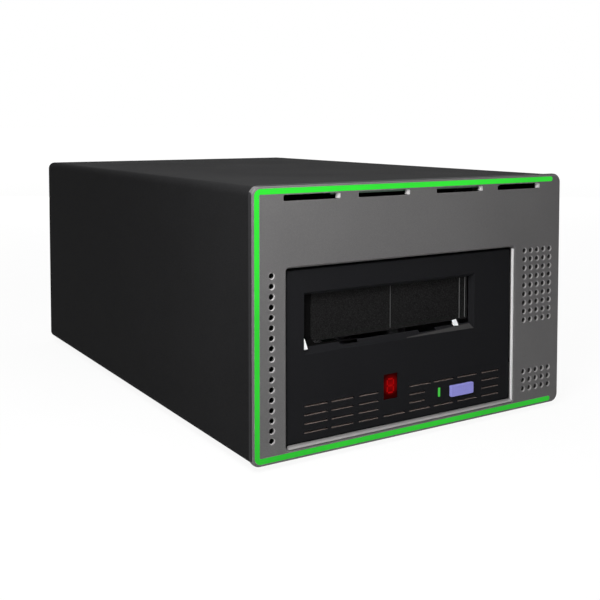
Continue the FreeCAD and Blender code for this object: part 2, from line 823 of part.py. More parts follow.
def make_eject_button():
    """A cap with a retaining flange inside the bezel and a stem that meets the switch."""
    body = new_body("eject_button")
    centre = (s.button_at, up(s.button_level))
    inner = BEZEL_WALL_BACK + s.button_gap
    pad(body, "XZ", BEZEL_FRONT - s.button_proud, inner,
        centred(*centre, s.button_width, s.button_height, 0.8))
    dress(body, "Fillet", 0.4, on_level("Y", BEZEL_FRONT - s.button_proud))
    flange_back = inner + 0.6
    pad(body, "XZ", inner, flange_back, centred(*centre, s.button_width, s.button_height + 2.4))
    stem_end = BEZEL_WALL_BACK + 2 + s.board_thickness - s.button_travel - s.button_gap
    pad(body, "XZ", flange_back, stem_end, centred(*centre, 6, 3))


def make_cartridge_door():
    """A flap with rounded lower corners, a centre seam and a bored lug at each top corner."""
    body = new_body("cartridge_door")
    left = s.mouth_at - MOUTH_HALF + s.door_left_gap
    right = s.mouth_at + MOUTH_HALF - s.door_gap
    low = MOUTH_LOW + s.door_low_gap
    top = HINGE_Z
    corners = [(left, low), (right, low), (right, top), (left, top)]
    pad(body, "XZ", DOOR_FRONT, DOOR_BACK, square_outline(corners, [2.4, 1.2, 0, 0]))
    seam = polygon([(s.mouth_at - 0.5, DOOR_FRONT - 0.01), (s.mouth_at + 0.5, DOOR_FRONT - 0.01),
                    (s.mouth_at, DOOR_FRONT + 0.6)])
    pocket(body, "XY", low - 1, MOUTH_TOP, seam)
    inlay_lines = [centred(right - inset, DOOR_FRONT, s.inlay_width, s.inlay_width)
                   for inset in (s.inlay_inset, s.inlay_inset + s.inlay_pitch)]
    pocket(body, "XY", low - 1, MOUTH_TOP, *inlay_lines)
    lug = s.hinge_length + s.hinge_fit
    barrel = (HINGE_Y, HINGE_Z)
    for start, stop in ((left, left + lug), (right - lug, right)):
        pad(body, "YZ", start, stop, disc(*barrel, s.hinge_radius))
    reach = s.hinge_radius * 0.5
    for start, stop in ((left - 1, left + lug), (right - lug, right + 1)):
        pocket(body, "YZ", start, stop, disc(*barrel, reach + s.hinge_fit))


def make_door_pins():
    """Two hinge pins on ears that stand on the mechanism's chassis."""
    radius = s.hinge_radius * 0.5
    pins = []
    for i, side in enumerate((-1, 1)):
        gap = s.door_left_gap if side < 0 else s.door_gap
        edge = s.mouth_at + side * MOUTH_HALF
        start = edge - side * (gap + s.hinge_length)
        ear = edge + side * 2.2
        low, high = (ear, start) if side < 0 else (start, ear)
        pin = rod(f"hinge_pin_{i}", "X", low, HINGE_Y, HINGE_Z, radius, high - low)
        inner = edge + side * 0.6
        x_range = (ear, inner) if side < 0 else (inner, ear)
        post = block(f"hinge_ear_{i}", x_range, (HINGE_Y - 2, BEZEL_BACK + 2),
                     (HINGE_Z - 2.5, HINGE_Z + 2.5))
        pins.append(join(f"hinge_{i}", [pin, post]))
    group("door_pins", pins)


# ---- tape mechanism --------------------------------------------------------------------

DRIVE_LOW = up(s.drive_level - s.drive_height / 2)
DRIVE_TOP = DRIVE_LOW + s.drive_height
WALL_TOP = DRIVE_TOP - 1
DRIVE_HALF = s.drive_width / 2
DRIVE_BACK = BEZEL_BACK + s.drive_depth
REEL_Y = DRIVE_BACK - s.reel_setback
FLOOR = up(s.floor_level) + s.floor_sheet
MOTOR_TOP = FLOOR + s.motor_height
POWER_SOCKET = (s.drive_at + 45, up(62), as_size(18), as_size(10))
DATA_SOCKET = (s.drive_at - 31, up(66), as_size(48), as_size(8))
SIDE_HOLES = (BEZEL_FRONT + 47.4, as_size(79.2), DRIVE_LOW + 10)


def make_drive_chassis():
    """A deep channel with a raised floor, a front bar and a rear wall with two cut-outs."""
    body = new_body("drive_chassis")
    inner = DRIVE_HALF - s.floor_sheet
    low = FLOOR - s.floor_sheet
    middle = s.drive_at
    sides = [(-DRIVE_HALF, DRIVE_LOW), (-inner, DRIVE_LOW), (-inner, low), (inner, low),
             (inner, DRIVE_LOW), (DRIVE_HALF, DRIVE_LOW), (DRIVE_HALF, WALL_TOP),
             (inner, WALL_TOP), (inner, FLOOR), (-inner, FLOOR), (-inner, WALL_TOP),
             (-DRIVE_HALF, WALL_TOP)]
    corners = [(middle + x, z) for x, z in sides]
    pad(body, "XZ", BEZEL_BACK, DRIVE_BACK, square_outline(corners))
    wall = inner - 1.1
    pad(body, "XZ", BEZEL_BACK, BEZEL_BACK + 2,
        rectangle(middle - wall, middle + wall, HINGE_Z + 2.5, WALL_TOP))
    pad(body, "XZ", DRIVE_BACK - 2, DRIVE_BACK,
        rectangle(middle - wall, middle + wall, FLOOR, WALL_TOP))
    for end in (-1, 1):
        tie = middle + end * (inner - 0.6)
        for start in (BEZEL_BACK, DRIVE_BACK - 2):
            pad(body, "XZ", start, start + 2,
                rectangle(tie - 0.6, tie + 0.6, HINGE_Z, WALL_TOP - s.lid_flange - 0.3))
    pocket(body, "XZ", DRIVE_BACK - 2, DRIVE_BACK, centred(*POWER_SOCKET), centred(*DATA_SOCKET))
    left = middle - DRIVE_HALF
    hole = pocket(body, "YZ", left - 1, left + s.drive_width + 1,
                  disc(SIDE_HOLES[0], SIDE_HOLES[2], 1.5))
    row(body, hole, "Y", SIDE_HOLES[1], 2)


def make_drive_cover():
    """A sheet lid whose short flanges drop inside the chassis walls."""
    body = new_body("drive_cover")
    outer = DRIVE_HALF - s.floor_sheet - 0.1
    inner = outer - 0.8
    low = WALL_TOP - s.lid_flange
    sides = [(-DRIVE_HALF, WALL_TOP), (-outer, WALL_TOP), (-outer, low), (-inner, low),
             (-inner, WALL_TOP), (inner, WALL_TOP), (inner, low), (outer, low),
             (outer, WALL_TOP), (DRIVE_HALF, WALL_TOP), (DRIVE_HALF, DRIVE_TOP),
             (-DRIVE_HALF, DRIVE_TOP)]
    pad(body, "XZ", BEZEL_BACK, DRIVE_BACK,
        square_outline([(s.drive_at + x, z) for x, z in sides]))


def make_drive_board():
    """The main board under the chassis floor, on four pillars, with its larger chips."""
    body = new_body("drive_board")
    half = DRIVE_HALF - s.floor_sheet - 1.5
    low = DRIVE_LOW + 3
    top = low + s.board_thickness
    pad(body, "XY", low, top, rectangle(s.drive_at - half, s.drive_at + half,
                                        BEZEL_BACK + 6, DRIVE_BACK - 6))
    pillars = [disc(s.drive_at + i * (half - 8), y, 3)
               for i in (-1, 1) for y in (BEZEL_BACK + 16, DRIVE_BACK - 16)]
    pad(body, "XY", top, FLOOR - s.floor_sheet, *pillars)
    chips = [centred(s.drive_at + x, BEZEL_BACK + y, size, size)
             for x, y, size in ((-30, 60, 26), (20, 90, 22), (-10, 140, 16), (40, 150, 16))]
    pad(body, "XY", top, top + 1.8, *chips)


def make_drive_sockets():
    """Power and data sockets that fill the two cut-outs of the rear wall."""
    sockets = []
    for name, (x, z, width, height) in (("power", POWER_SOCKET), ("data", DATA_SOCKET)):
        sockets.append(block(f"{name}_socket", (x - width / 2, x + width / 2),
                             (DRIVE_BACK - 4, DRIVE_BACK + 1), (z - height / 2, z + height / 2)))
    group("drive_sockets", sockets)


def motor(node, x, y, radius, top):
    """A pancake motor on the chassis floor, bored for the shaft of what it turns."""
    body = new_body(node)
    height = top - FLOOR
    bore = s.shaft_radius + s.rotor_fit
    spin(body, [(0, 0), (radius, 0), (radius, height - 2), (radius - 2, height),
                (bore, height), (bore, 3), (0, 3)])
    place(body, x, y, FLOOR)


def shaft_points(length):
    """Outline points of a shaft that hangs below the part it belongs to."""
    return [(0, -length), (s.shaft_radius, -length), (s.shaft_radius, 0)]


def make_reels():
    hub_y = back(s.hub_at)
    motor("supply_motor", s.mouth_at, hub_y, s.motor_radius, MOTOR_TOP)
    hub = new_body("supply_hub")
    low = MOTOR_TOP + 0.5
    height = up(s.hub_top) - low
    spin(hub, [*shaft_points(as_size(12)), (s.hub_radius, 0), (s.hub_radius, height - 2),
               (s.hub_radius - 1, height - 1), (s.hub_radius - 6, height - 1),
               (s.hub_radius - 7, height - 2.5), (0, height - 2.5)])
    tooth = pad(hub, "XY", height - 1, height, rectangle(s.hub_radius - 5, s.hub_radius - 1.2, -0.8, 0.8))
    ring(hub, tooth, as_size(12))
    place(hub, s.mouth_at, hub_y, low)

    motor("takeup_motor", s.reel_at_x, REEL_Y, s.motor_radius, MOTOR_TOP)
    reel = new_body("takeup_reel")
    core, rim, sheet = as_size(20), s.reel_radius, s.reel_flange
    width = s.reel_width
    spin(reel, [*shaft_points(up(s.reel_low) - MOTOR_TOP + 12), (rim, 0), (rim, sheet),
                (core, sheet), (core, width - sheet), (rim, width - sheet), (rim, width),
                (core - 8, width), (core - 8, sheet + 1), (0, sheet + 1)])
    window = pocket(reel, "XY", width - sheet - 0.5, width + 0.5, disc(as_size(28), 0, 4.5))
    ring(reel, window, as_size(6))
    place(reel, s.reel_at_x, REEL_Y, up(s.reel_low))


# Guide rollers: X, and the distance behind the take-up reel's axis.
ROLLERS = [(34.0, -33.0), (46.0, -28.0), (46.0, 0.0), (30.0, 10.0)]


def make_rollers():
    posts = []
    low = up(s.reel_low + 0.4)
    for number, (x, behind) in enumerate(ROLLERS, start=1):
        y = REEL_Y + behind
        roller = new_body(f"guide_roller_{number}")
        bore, rim, width = s.post_radius + s.rotor_fit, s.roller_radius, s.roller_width
        spin(roller, [(bore, 0), (rim, 0), (rim, 0.8), (rim - 0.8, 1.4), (rim - 0.8, width - 1.4),
                      (rim, width - 0.8), (rim, width), (bore, width)])
        place(roller, x, y, low)
        collar = rod(f"post_collar_{number}", "Z", x, y, FLOOR, s.post_radius * 2,
                     low - s.slip_gap - FLOOR)
        pin = rod(f"post_pin_{number}", "Z", x, y, FLOOR, s.post_radius,
                  low + width + 1 - FLOOR)
        posts.append(join(f"post_{number}", [collar, pin]))
    group("guide_posts", [*posts, make_threading_arm()])


def make_head():
    """The tape head and the carriage that steps it up and down on two rods."""
    x, y = s.head_at_x, REEL_Y - s.head_ahead
    low = up(s.reel_low - 4)
    high = up(s.reel_low + s.reel_width + 3)
    carriage = new_body("head_carriage")
    bores = [disc(x + 2, y + side * 5, s.post_radius + s.rotor_fit) for side in (-1, 1)]
    pad(carriage, "XY", low, high, rectangle(x - 4, x + 6, y - 8, y + 8, 1), *bores)
    head = new_body("tape_head")
    pad(head, "XY", low + 3, high - 3,
        polygon([(x - 4, y - 6), (x - 4, y + 6), (x - 6, y + 5), (x - 7, y + 1.5),
                 (x - 7, y - 1.5), (x - 6, y - 5)]))
    rods = [rod(f"head_rod_{i}", "Z", x + 2, y + side * 5, FLOOR, s.post_radius,
                up(84) - FLOOR) for i, side in enumerate((-1, 1))]
    group("head_rods", rods)


def make_threading_arm():
    """A flat arm on a post, whose finger carries the tape's leader to the take-up reel."""
    x, y = s.arm_at_x, REEL_Y + s.arm_behind
    arm = new_body("threading_arm")
    level = up(s.arm_level)
    bore = s.post_radius + s.rotor_fit
    lean = math.radians(-71)
    along = FreeCAD.Vector(math.cos(lean), math.sin(lean), 0)
    across = FreeCAD.Vector(-along.y, along.x, 0)

    def spot(run, side):
        return (x + s.arm_length * run * along.x + side * across.x,
                y + s.arm_length * run * along.y + side * across.y)

    pad(arm, "XY", level, level + 2, disc(x, y, 4.5))
    pad(arm, "XY", level, level + 2,
        polygon([spot(0, -4), spot(1, -2.5), spot(1, 2.5), spot(0, 4)]))
    pad(arm, "XY", level - 1.2, level, disc(*spot(0.94, 0), 2))
    pocket(arm, "XY", level - 2, level + 3, disc(x, y, bore))
    collar = rod("arm_collar", "Z", x, y, FLOOR, s.post_radius * 2, level - s.slip_gap - FLOOR)
    pin = rod("arm_pin", "Z", x, y, FLOOR, s.post_radius, level + 4 - FLOOR)
    return join("arm_post", [collar, pin])


# ---- loader ----------------------------------------------------------------------------

PITCH = s.tooth_module * math.pi
RACK_TIP = s.mouth_at + s.carriage_width / 2 + s.rack_depth
PITCH_LINE = RACK_TIP - s.tooth_module
GEAR_RADIUS = s.tooth_module * s.gear_teeth / 2
GEAR_X = PITCH_LINE + GEAR_RADIUS


def make_loader_carriage():
    """A sled whose ledges carry the cartridge, with a rack along its right wall."""
    body = new_body("loader_carriage")
    half, wall = s.carriage_width / 2, s.carriage_wall
    low, high = up(s.carriage_low), up(s.carriage_high)
    start = back(s.carriage_start)
    end = start + s.carriage_length
    middle = s.mouth_at
    pad(body, "XZ", end - wall, end, rectangle(middle - half, middle + half, low, high - 12))
    rails = []
    for side in (-1, 1):
        sides = [(half, low), (half - s.ledge_width, low), (half - s.ledge_width, low + 1.2),
                 (half - wall, low + 1.2), (half - wall, high), (half, high)]
        rails.append(square_outline([(middle + side * x, z) for x, z in sides]))
    pad(body, "XZ", start, end, *rails)
    root = RACK_TIP - s.tooth_module * 2.25
    pad(body, "XY", up(s.rack_low), up(s.rack_high), rectangle(middle + half, root, start, end))
    count = int(float(s.carriage_length) / float(PITCH)) - 1
    before = int((float(s.gear_at) - float(s.carriage_start)) / float(PITCH) - 0.5)
    first = back(s.gear_at) - PITCH * (before - 0.5)
    thick = PITCH / 4 - s.gear_play / 2
    slope = math.tan(math.radians(20))
    tooth = pad(body, "XY", up(s.rack_low), up(s.rack_high), polygon([
        (root, first - thick - s.tooth_module * 1.25 * slope),
        (RACK_TIP, first - thick + s.tooth_module * slope),
        (RACK_TIP, first + thick - s.tooth_module * slope),
        (root, first + thick + s.tooth_module * 1.25 * slope)]))
    row(body, tooth, "Y", PITCH, as_size(count))


def tooth_half_angle(radius):
    """Half the angle that an involute tooth spans at this share of the pitch radius."""
    pressure = math.radians(20)
    base = math.cos(pressure)
    here = math.acos(min(1.0, base / radius))
    thick = float(PITCH) / 2 - float(s.gear_play)
    at_pitch = thick / 2 / float(GEAR_RADIUS)
    return at_pitch + (math.tan(pressure) - pressure) - (math.tan(here) - here)


def make_loader_gear():
    """A small gear in mesh with the rack, on the shaft of the loader motor."""
    body = new_body("loader_gear")
    teeth = s.gear_teeth
    root_radius = GEAR_RADIUS - s.tooth_module * 1.25
    face = up(s.rack_high) - up(s.rack_low)
    below = up(s.rack_low) - (up(s.carriage_low) - 2.4)
    spin(body, [*shaft_points(below + 10), (root_radius, 0), (root_radius, face),
                (s.shaft_radius, face), (s.shaft_radius, face + 3), (0, face + 3)])
    flank = [(0.76, 0.95), (0.95, 1.0), (1.0, 1.0), (1 + 2 / float(teeth), 1.0)]
    side = []
    for share, thin in flank:
        angle = tooth_half_angle(max(share, 0.94)) * thin
        side.append((share, angle))
    points = [(GEAR_RADIUS * share * math.cos(angle), GEAR_RADIUS * share * math.sin(-angle))
              for share, angle in side]
    points += [(x, -y) for x, y in reversed(points)]
    tooth = pad(body, "XY", 0, face, polygon(points))
    ring(body, tooth, teeth)
    place(body, GEAR_X, back(s.gear_at), up(s.rack_low))
    motor("loader_motor", GEAR_X, back(s.gear_at), as_size(9), up(s.carriage_low) - 2.4)


# ---- rear of the case ------------------------------------------------------------------

def make_cradle():
    """Two folded rails that carry the mechanism by its side screws."""
    screws = []
    for side, name in ((-1, "left"), (1, "right")):
        body = new_body(f"cradle_rail_{name}")
        face = s.drive_at + side * DRIVE_HALF
        sheet, foot = s.rail_sheet, s.rail_foot
        high = TRAY_TOP + s.rail_height
        corners = [(face, TRAY_TOP), (face, high), (face + side * sheet, high),
                   (face + side * sheet, TRAY_TOP + sheet), (face + side * foot, TRAY_TOP + sheet),
                   (face + side * foot, TRAY_TOP)]
        pad(body, "XZ", back(s.rail_front), DRIVE_BACK - s.rail_end_gap, square_outline(corners))
        outside = face + side * sheet
        for i in (0, 1):
            start = outside if side > 0 else outside - 1.2
            screws.append(rod(f"drive_screw_{name}_{i}", "X", start,
                              SIDE_HOLES[0] + SIDE_HOLES[1] * i, SIDE_HOLES[2], 2.8, 1.2))
    group("drive_screws", screws)


def make_fan():
    frame = new_body("fan_frame")
    outline = centred(FAN_X, FAN_Z, s.fan_size, s.fan_size, 4)
    sheet = 3.5
    pad(frame, "XZ", FAN_FRONT, FAN_FRONT + sheet, outline)
    pad(frame, "XZ", FAN_FRONT, REAR_FACE, disc(FAN_X, FAN_Z, s.fan_size / 2 - 0.1))
    pad(frame, "XZ", REAR_FACE - sheet, REAR_FACE, centred(FAN_X, FAN_Z, s.fan_size, s.fan_size, 4))
    half = s.fan_hole_pitch / 2
    corners = [(FAN_X + i * half, FAN_Z + j * half) for i in (-1, 1) for j in (-1, 1)]
    pocket(frame, "XZ", FAN_FRONT, REAR_FACE, disc(FAN_X, FAN_Z, s.fan_duct),
           *[disc(x, z, s.fan_hole_radius) for x, z in corners])
    seat = REAR_FACE - 3
    reach = s.fan_duct + 0.5
    pad(frame, "XZ", seat, REAR_FACE, rectangle(FAN_X - reach, FAN_X + reach, FAN_Z - 2, FAN_Z + 2))
    pad(frame, "XZ", seat, REAR_FACE, rectangle(FAN_X - 2, FAN_X + 2, FAN_Z - reach, FAN_Z + reach))
    pad(frame, "XZ", seat, REAR_FACE, disc(FAN_X, FAN_Z, s.fan_hub - 2))

    shaft = s.post_radius
    stator = new_body("fan_stator")
    deep = s.fan_depth - 3 - 3.5
    spin(stator, [(shaft + s.rotor_fit, 0), (s.fan_hub - 4, 0), (s.fan_hub - 4, deep - 5),
                  (s.fan_hub - 9, deep - 5), (s.fan_hub - 9, deep), (shaft + s.rotor_fit, deep)])
    place(stator, FAN_X, seat - deep, FAN_Z, ((1, 0, 0), -90))

    rotor = new_body("fan_rotor")
    hub, cup = s.fan_hub, s.fan_hub - 1.6
    length = s.fan_depth - 3 - 1.2
    spin(rotor, [(0, 0), (hub - 1, 0), (hub, 1), (hub, length), (cup, length), (cup, 1.8),
                 (shaft, 1.8), (shaft, length - 4), (0, length - 4)])
    tip = s.fan_duct - s.fan_tip_gap - 1.9
    blade_half = length / 2 - 1
    loft = rotor.newObject("PartDesign::AdditiveLoft", "blade")
    first, second = [blade_section(rotor, at, lean, chord, blade_half + 1)
                     for at, lean, chord in ((hub - 0.8, 42, 10.5), (tip, 62, 13.0))]
    loft.Profile = first
    loft.Sections = [second]
    loft.Ruled = True
    ring(rotor, loft, s.fan_blades)
    place(rotor, FAN_X, FAN_FRONT + 0.8, FAN_Z, ((1, 0, 0), -90))


def blade_section(body, at, lean, chord, level):
    """A thin leaning plate section, square to the blade's own length."""
    lean = math.radians(lean)
    thick = 0.65
    corners = [(-chord, -thick), (chord, -thick), (chord, thick), (-chord, thick)]
    points = []
    for run, side in corners:
        across = run * math.sin(lean) - side * math.cos(lean)
        along = run * math.cos(lean) + side * math.sin(lean)
        points.append((as_size(across), level + along))
    sketch = sketch_at(body, "YZ", at)
    polygon(points)(sketch)
    return sketch


def make_fan_guard():
    """Two wire rings and a boss on crossed spokes, with an ear at each fan screw."""
    body = new_body("fan_guard")
    top = CASE_BACK + s.guard_thickness
    wire = s.guard_ring
    pad(body, "XZ", CASE_BACK, top, disc(FAN_X, FAN_Z, 9))
    reach = s.fan_hole_pitch / 2 - 2.6
    lean = wire * 0.35
    for slant in (-1, 1):
        corners = [(-reach - lean, -reach + lean), (-reach + lean, -reach - lean),
                   (reach + lean, reach - lean), (reach - lean, reach + lean)]
        if slant < 0:
            corners = [(x, -z) for x, z in reversed(corners)]
        pad(body, "XZ", CASE_BACK, top, polygon([(FAN_X + x, FAN_Z + z) for x, z in corners]))
    for radius in (s.fan_duct * 0.6, s.fan_duct * 0.93):
        pad(body, "XZ", CASE_BACK, top, disc(FAN_X, FAN_Z, radius),
            disc(FAN_X, FAN_Z, radius - wire))
    half = s.fan_hole_pitch / 2
    ears = [disc(FAN_X + i * half, FAN_Z + j * half, 4) for i in (-1, 1) for j in (-1, 1)]
    pad(body, "XZ", CASE_BACK, CASE_BACK + 0.8, *ears)
    screws = [rod(f"fan_screw_{i}{j}", "Y", FAN_X + i * half, CASE_BACK + 0.8, FAN_Z + j * half,
                  2.9, s.guard_thickness - 0.8) for i in (-1, 1) for j in (-1, 1)]
    group("fan_screws", screws)


INLET_FACE = CASE_BACK + 1.6
INLET_BACK = CASE_BACK - s.inlet_depth


def blade_spots():
    """Middles of the three inlet blades: two level ones and the raised earth."""
    return [(INLET_X + x, up(s.inlet_level) + z) for x, z in ((-7, -2), (0, 2), (7, -2))]


def make_power_inlet():
    body = new_body("power_inlet")
    centre = (INLET_X, up(s.inlet_level))
    pad(body, "XZ", INLET_BACK, INLET_FACE, centred(*centre, s.inlet_width, s.inlet_height, 1))
    pad(body, "XZ", CASE_BACK, INLET_FACE,
        centred(*centre, s.inlet_width + 4, s.inlet_height + 4, 1.5))
    half_width, half_height = s.socket_width / 2, s.socket_height / 2
    cut_corner = 4
    x, z = centre
    mouth = polygon([(x - half_width, z - half_height), (x + half_width, z - half_height),
                     (x + half_width, z + half_height - cut_corner),
                     (x + half_width - cut_corner, z + half_height),
                     (x - half_width + cut_corner, z + half_height),
                     (x - half_width, z + half_height - cut_corner)])
    pocket(body, "XZ", INLET_FACE - s.socket_depth, INLET_FACE, mouth)
    pocket(body, "XZ", INLET_BACK, INLET_FACE - s.socket_depth,
           *[centred(px, pz, 2, 4) for px, pz in blade_spots()])
    blades = [block(f"inlet_blade_{i}", (px - 1, px + 1), (INLET_BACK - 6, INLET_FACE - 4.6),
                    (pz - 2, pz + 2)) for i, (px, pz) in enumerate(blade_spots())]
    group("inlet_blades", blades)


ROCKER_Y = CASE_BACK - 2.9


def make_power_switch():
    """A rocker on two trunnions in a snap-in housing."""
    housing = new_body("switch_housing")
    centre = (SWITCH_X, up(s.inlet_level))
    pad(housing, "XZ", CASE_BACK - 14, CASE_BACK + 1.4,
        centred(*centre, s.switch_width, s.switch_height))
    pad(housing, "XZ", CASE_BACK, CASE_BACK + 1.4,
        centred(*centre, s.switch_width + 3, s.switch_height + 3, 1))
    cavity = s.switch_width - 2.4
    pocket(housing, "XZ", CASE_BACK - 8, CASE_BACK + 1.4,
           centred(*centre, cavity, s.switch_height - 2))
    pocket(housing, "YZ", SWITCH_X - cavity / 2 - 0.8, SWITCH_X + cavity / 2 + 0.8,
           disc(ROCKER_Y, centre[1], 1 + s.rotor_fit))
    rocker = new_body("power_rocker")
    half = (cavity - 0.6) / 2
    end = s.switch_height / 2 - 2
    pad(rocker, "YZ", -half, half,
        polygon([(2.5, 0), (3.55, end), (-0.5, end - 1), (-1.6, 0), (-0.5, 1 - end), (3.55, -end)]))
    pin = cavity / 2 + 0.6
    pad(rocker, "YZ", -pin, pin, disc(0, 0, 1))
    place(rocker, SWITCH_X, ROCKER_Y, centre[1], ((1, 0, 0), 8))


BOARD_BACK = REAR_FACE - 10


def make_host_side():
    """The interface board behind the rear panel, with two host ports through it."""
    board = new_body("interface_board")
    half = s.port_width / 2 + 12
    low, high = PORT_Z - 18, PORT_Z + s.port_pitch + 16
    pad(board, "XZ", BOARD_BACK - s.board_thickness, BOARD_BACK,
        rectangle(PORT_X - half, PORT_X + half, low, high, 1))
    chips = [centred(PORT_X - 18, PORT_Z + 13, 12, 12),
             centred(PORT_X - 18, PORT_Z - 6, 10, 10)]
    pad(board, "XZ", BOARD_BACK - s.board_thickness - 1.6, BOARD_BACK - s.board_thickness, *chips)
    ports = []
    face = CASE_BACK + 1.2
    for i in (0, 1):
        z = PORT_Z + s.port_pitch * i
        half_width, half_height = s.port_width / 2, s.port_height / 2
        shell = block(f"port_shell_{i}",
                      (PORT_X - half_width - 1.2, PORT_X + half_width + 1.2),
                      (BOARD_BACK, face), (z - half_height - 1.2, z + half_height + 1.2))
        hollow = block(f"port_hollow_{i}", (PORT_X - half_width, PORT_X + half_width),
                       (face - 6, face + 1), (z - half_height, z + half_height))
        tongue = block(f"port_tongue_{i}", (PORT_X - half_width + 3, PORT_X + half_width - 3),
                       (face - 6, face - 1), (z - 1.4, z + 1.4))
        ports.append(join(f"port_{i}", [cut(f"port_body_{i}", shell, hollow), tongue]))
    group("host_ports", ports)


# ---- power supply ----------------------------------------------------------------------

SUPPLY_FLOOR = TRAY_TOP + s.rail_sheet
SUPPLY_BOARD = SUPPLY_FLOOR + 5
BOARD_TOP = SUPPLY_BOARD + s.board_thickness
SUPPLY_RIGHT = INNER_HALF - s.supply_side_gap
SUPPLY_START, SUPPLY_END = DRIVE_BACK + s.supply_gap, CASE_BACK - s.supply_end_gap
SUPPLY_TOP = FAN_Z - s.fan_size / 2 - s.supply_fan_gap
SUPPLY_ROOM = SUPPLY_TOP - BOARD_TOP
SINK_LEFT = SUPPLY_RIGHT - 24
PLUG_TOP = BOARD_TOP + 9.6
POWER_PLUG = (s.drive_at + 45, SUPPLY_START + 32)
MAINS_PLUG = (s.supply_left + 18, SUPPLY_START + 30)
LIGHT_PLUG = (SUPPLY_RIGHT - 9, SUPPLY_START + 10)


def make_supply():
    """An open supply in a folded tray: its board, transformer, capacitors and heat sink."""
    chassis = new_body("supply_chassis")
    left, right, start, end = s.supply_left, SUPPLY_RIGHT, SUPPLY_START, SUPPLY_END
    sheet = s.rail_sheet
    corners = [(left, TRAY_TOP), (right, TRAY_TOP), (right, SUPPLY_TOP),
               (right - sheet, SUPPLY_TOP), (right - sheet, SUPPLY_FLOOR),
               (left + sheet, SUPPLY_FLOOR), (left + sheet, SUPPLY_TOP), (left, SUPPLY_TOP)]
    pad(chassis, "XZ", start, end, square_outline(corners))
    board = new_body("supply_board")
    pad(board, "XY", SUPPLY_BOARD, BOARD_TOP, rectangle(left + 3, right - 3, start + 2, end - 2))
    pillars = [disc(x, y, 3) for x in (left + 9, right - 9) for y in (start + 8, end - 8)]
    pad(board, "XY", SUPPLY_FLOOR, SUPPLY_BOARD, *pillars)
    core_left, core_right = POWER_PLUG[0] + 7.5, SINK_LEFT - 1.5
    middle = end - 26
    core = block("core", (core_left, core_right), (middle - 14, middle + 14),
                 (BOARD_TOP, BOARD_TOP + SUPPLY_ROOM * 0.7))
    winding = block("winding", (core_left + 4, core_right - 4), (middle - 19, middle + 19),
                    (BOARD_TOP + SUPPLY_ROOM * 0.12, BOARD_TOP + SUPPLY_ROOM * 0.6))
    keep("transformer", join("transformer", [core, winding]))
    tall = [rod(f"capacitor_{i}", "Z", left + 34, end - 14 - 18 * i, BOARD_TOP, 8,
                SUPPLY_ROOM * 0.78) for i in (0, 1)]
    group("capacitors", tall)
    sink = new_body("heat_sink")
    high = BOARD_TOP + SUPPLY_ROOM * 0.8
    first, last = start + 24, end - 8
    pad(sink, "XY", BOARD_TOP, high, rectangle(SINK_LEFT, SINK_LEFT + 3, first, last))
    fin = pad(sink, "XY", BOARD_TOP + 4, high,
              rectangle(SINK_LEFT + 3, SINK_LEFT + 13, first, first + 1.4))
    row(sink, fin, "Y", (last - first - 1.4) / 9, 10)


# ---- cords held inside the case --------------------------------------------------------

def tube(label, points, radius):
    """A round cord: straight runs joined by tangent arcs, as large as the runs allow."""
    corners = [FreeCAD.Vector(*map(float, point)) for point in points]
    edges, here, bends = [], corners[0], []
    for before, corner, after in zip(corners, corners[1:], corners[2:]):
        came, goes = (corner - before), (after - corner)
        short = min(came.Length, goes.Length)
        came, goes = came.normalize(), goes.normalize()
        half_turn = came.getAngle(goes) / 2
        reach = 0.45 * short
        bend = reach / math.tan(half_turn)
        bends.append(round(bend, 1))
        first, last = corner - came * reach, corner + goes * reach
        inward = (goes - came).normalize()
        middle = corner + inward * (bend / math.cos(half_turn) - bend)
        edges.append(Part.LineSegment(here, first).toShape())
        edges.append(Part.Arc(first, middle, last).toShape())
        here = last
    edges.append(Part.LineSegment(here, corners[-1]).toShape())
    path = Part.Wire(edges)
    ring_edge = Part.makeCircle(radius, corners[0], corners[1] - corners[0])
    solid = path.makePipeShell([Part.Wire([ring_edge])], True, False)
    share = solid.Volume / (math.pi * radius ** 2 * path.Length)
    print(f"{label}: bend radii {bends}, length {path.Length:.1f}, volume share {share:.4f}")
    return solid


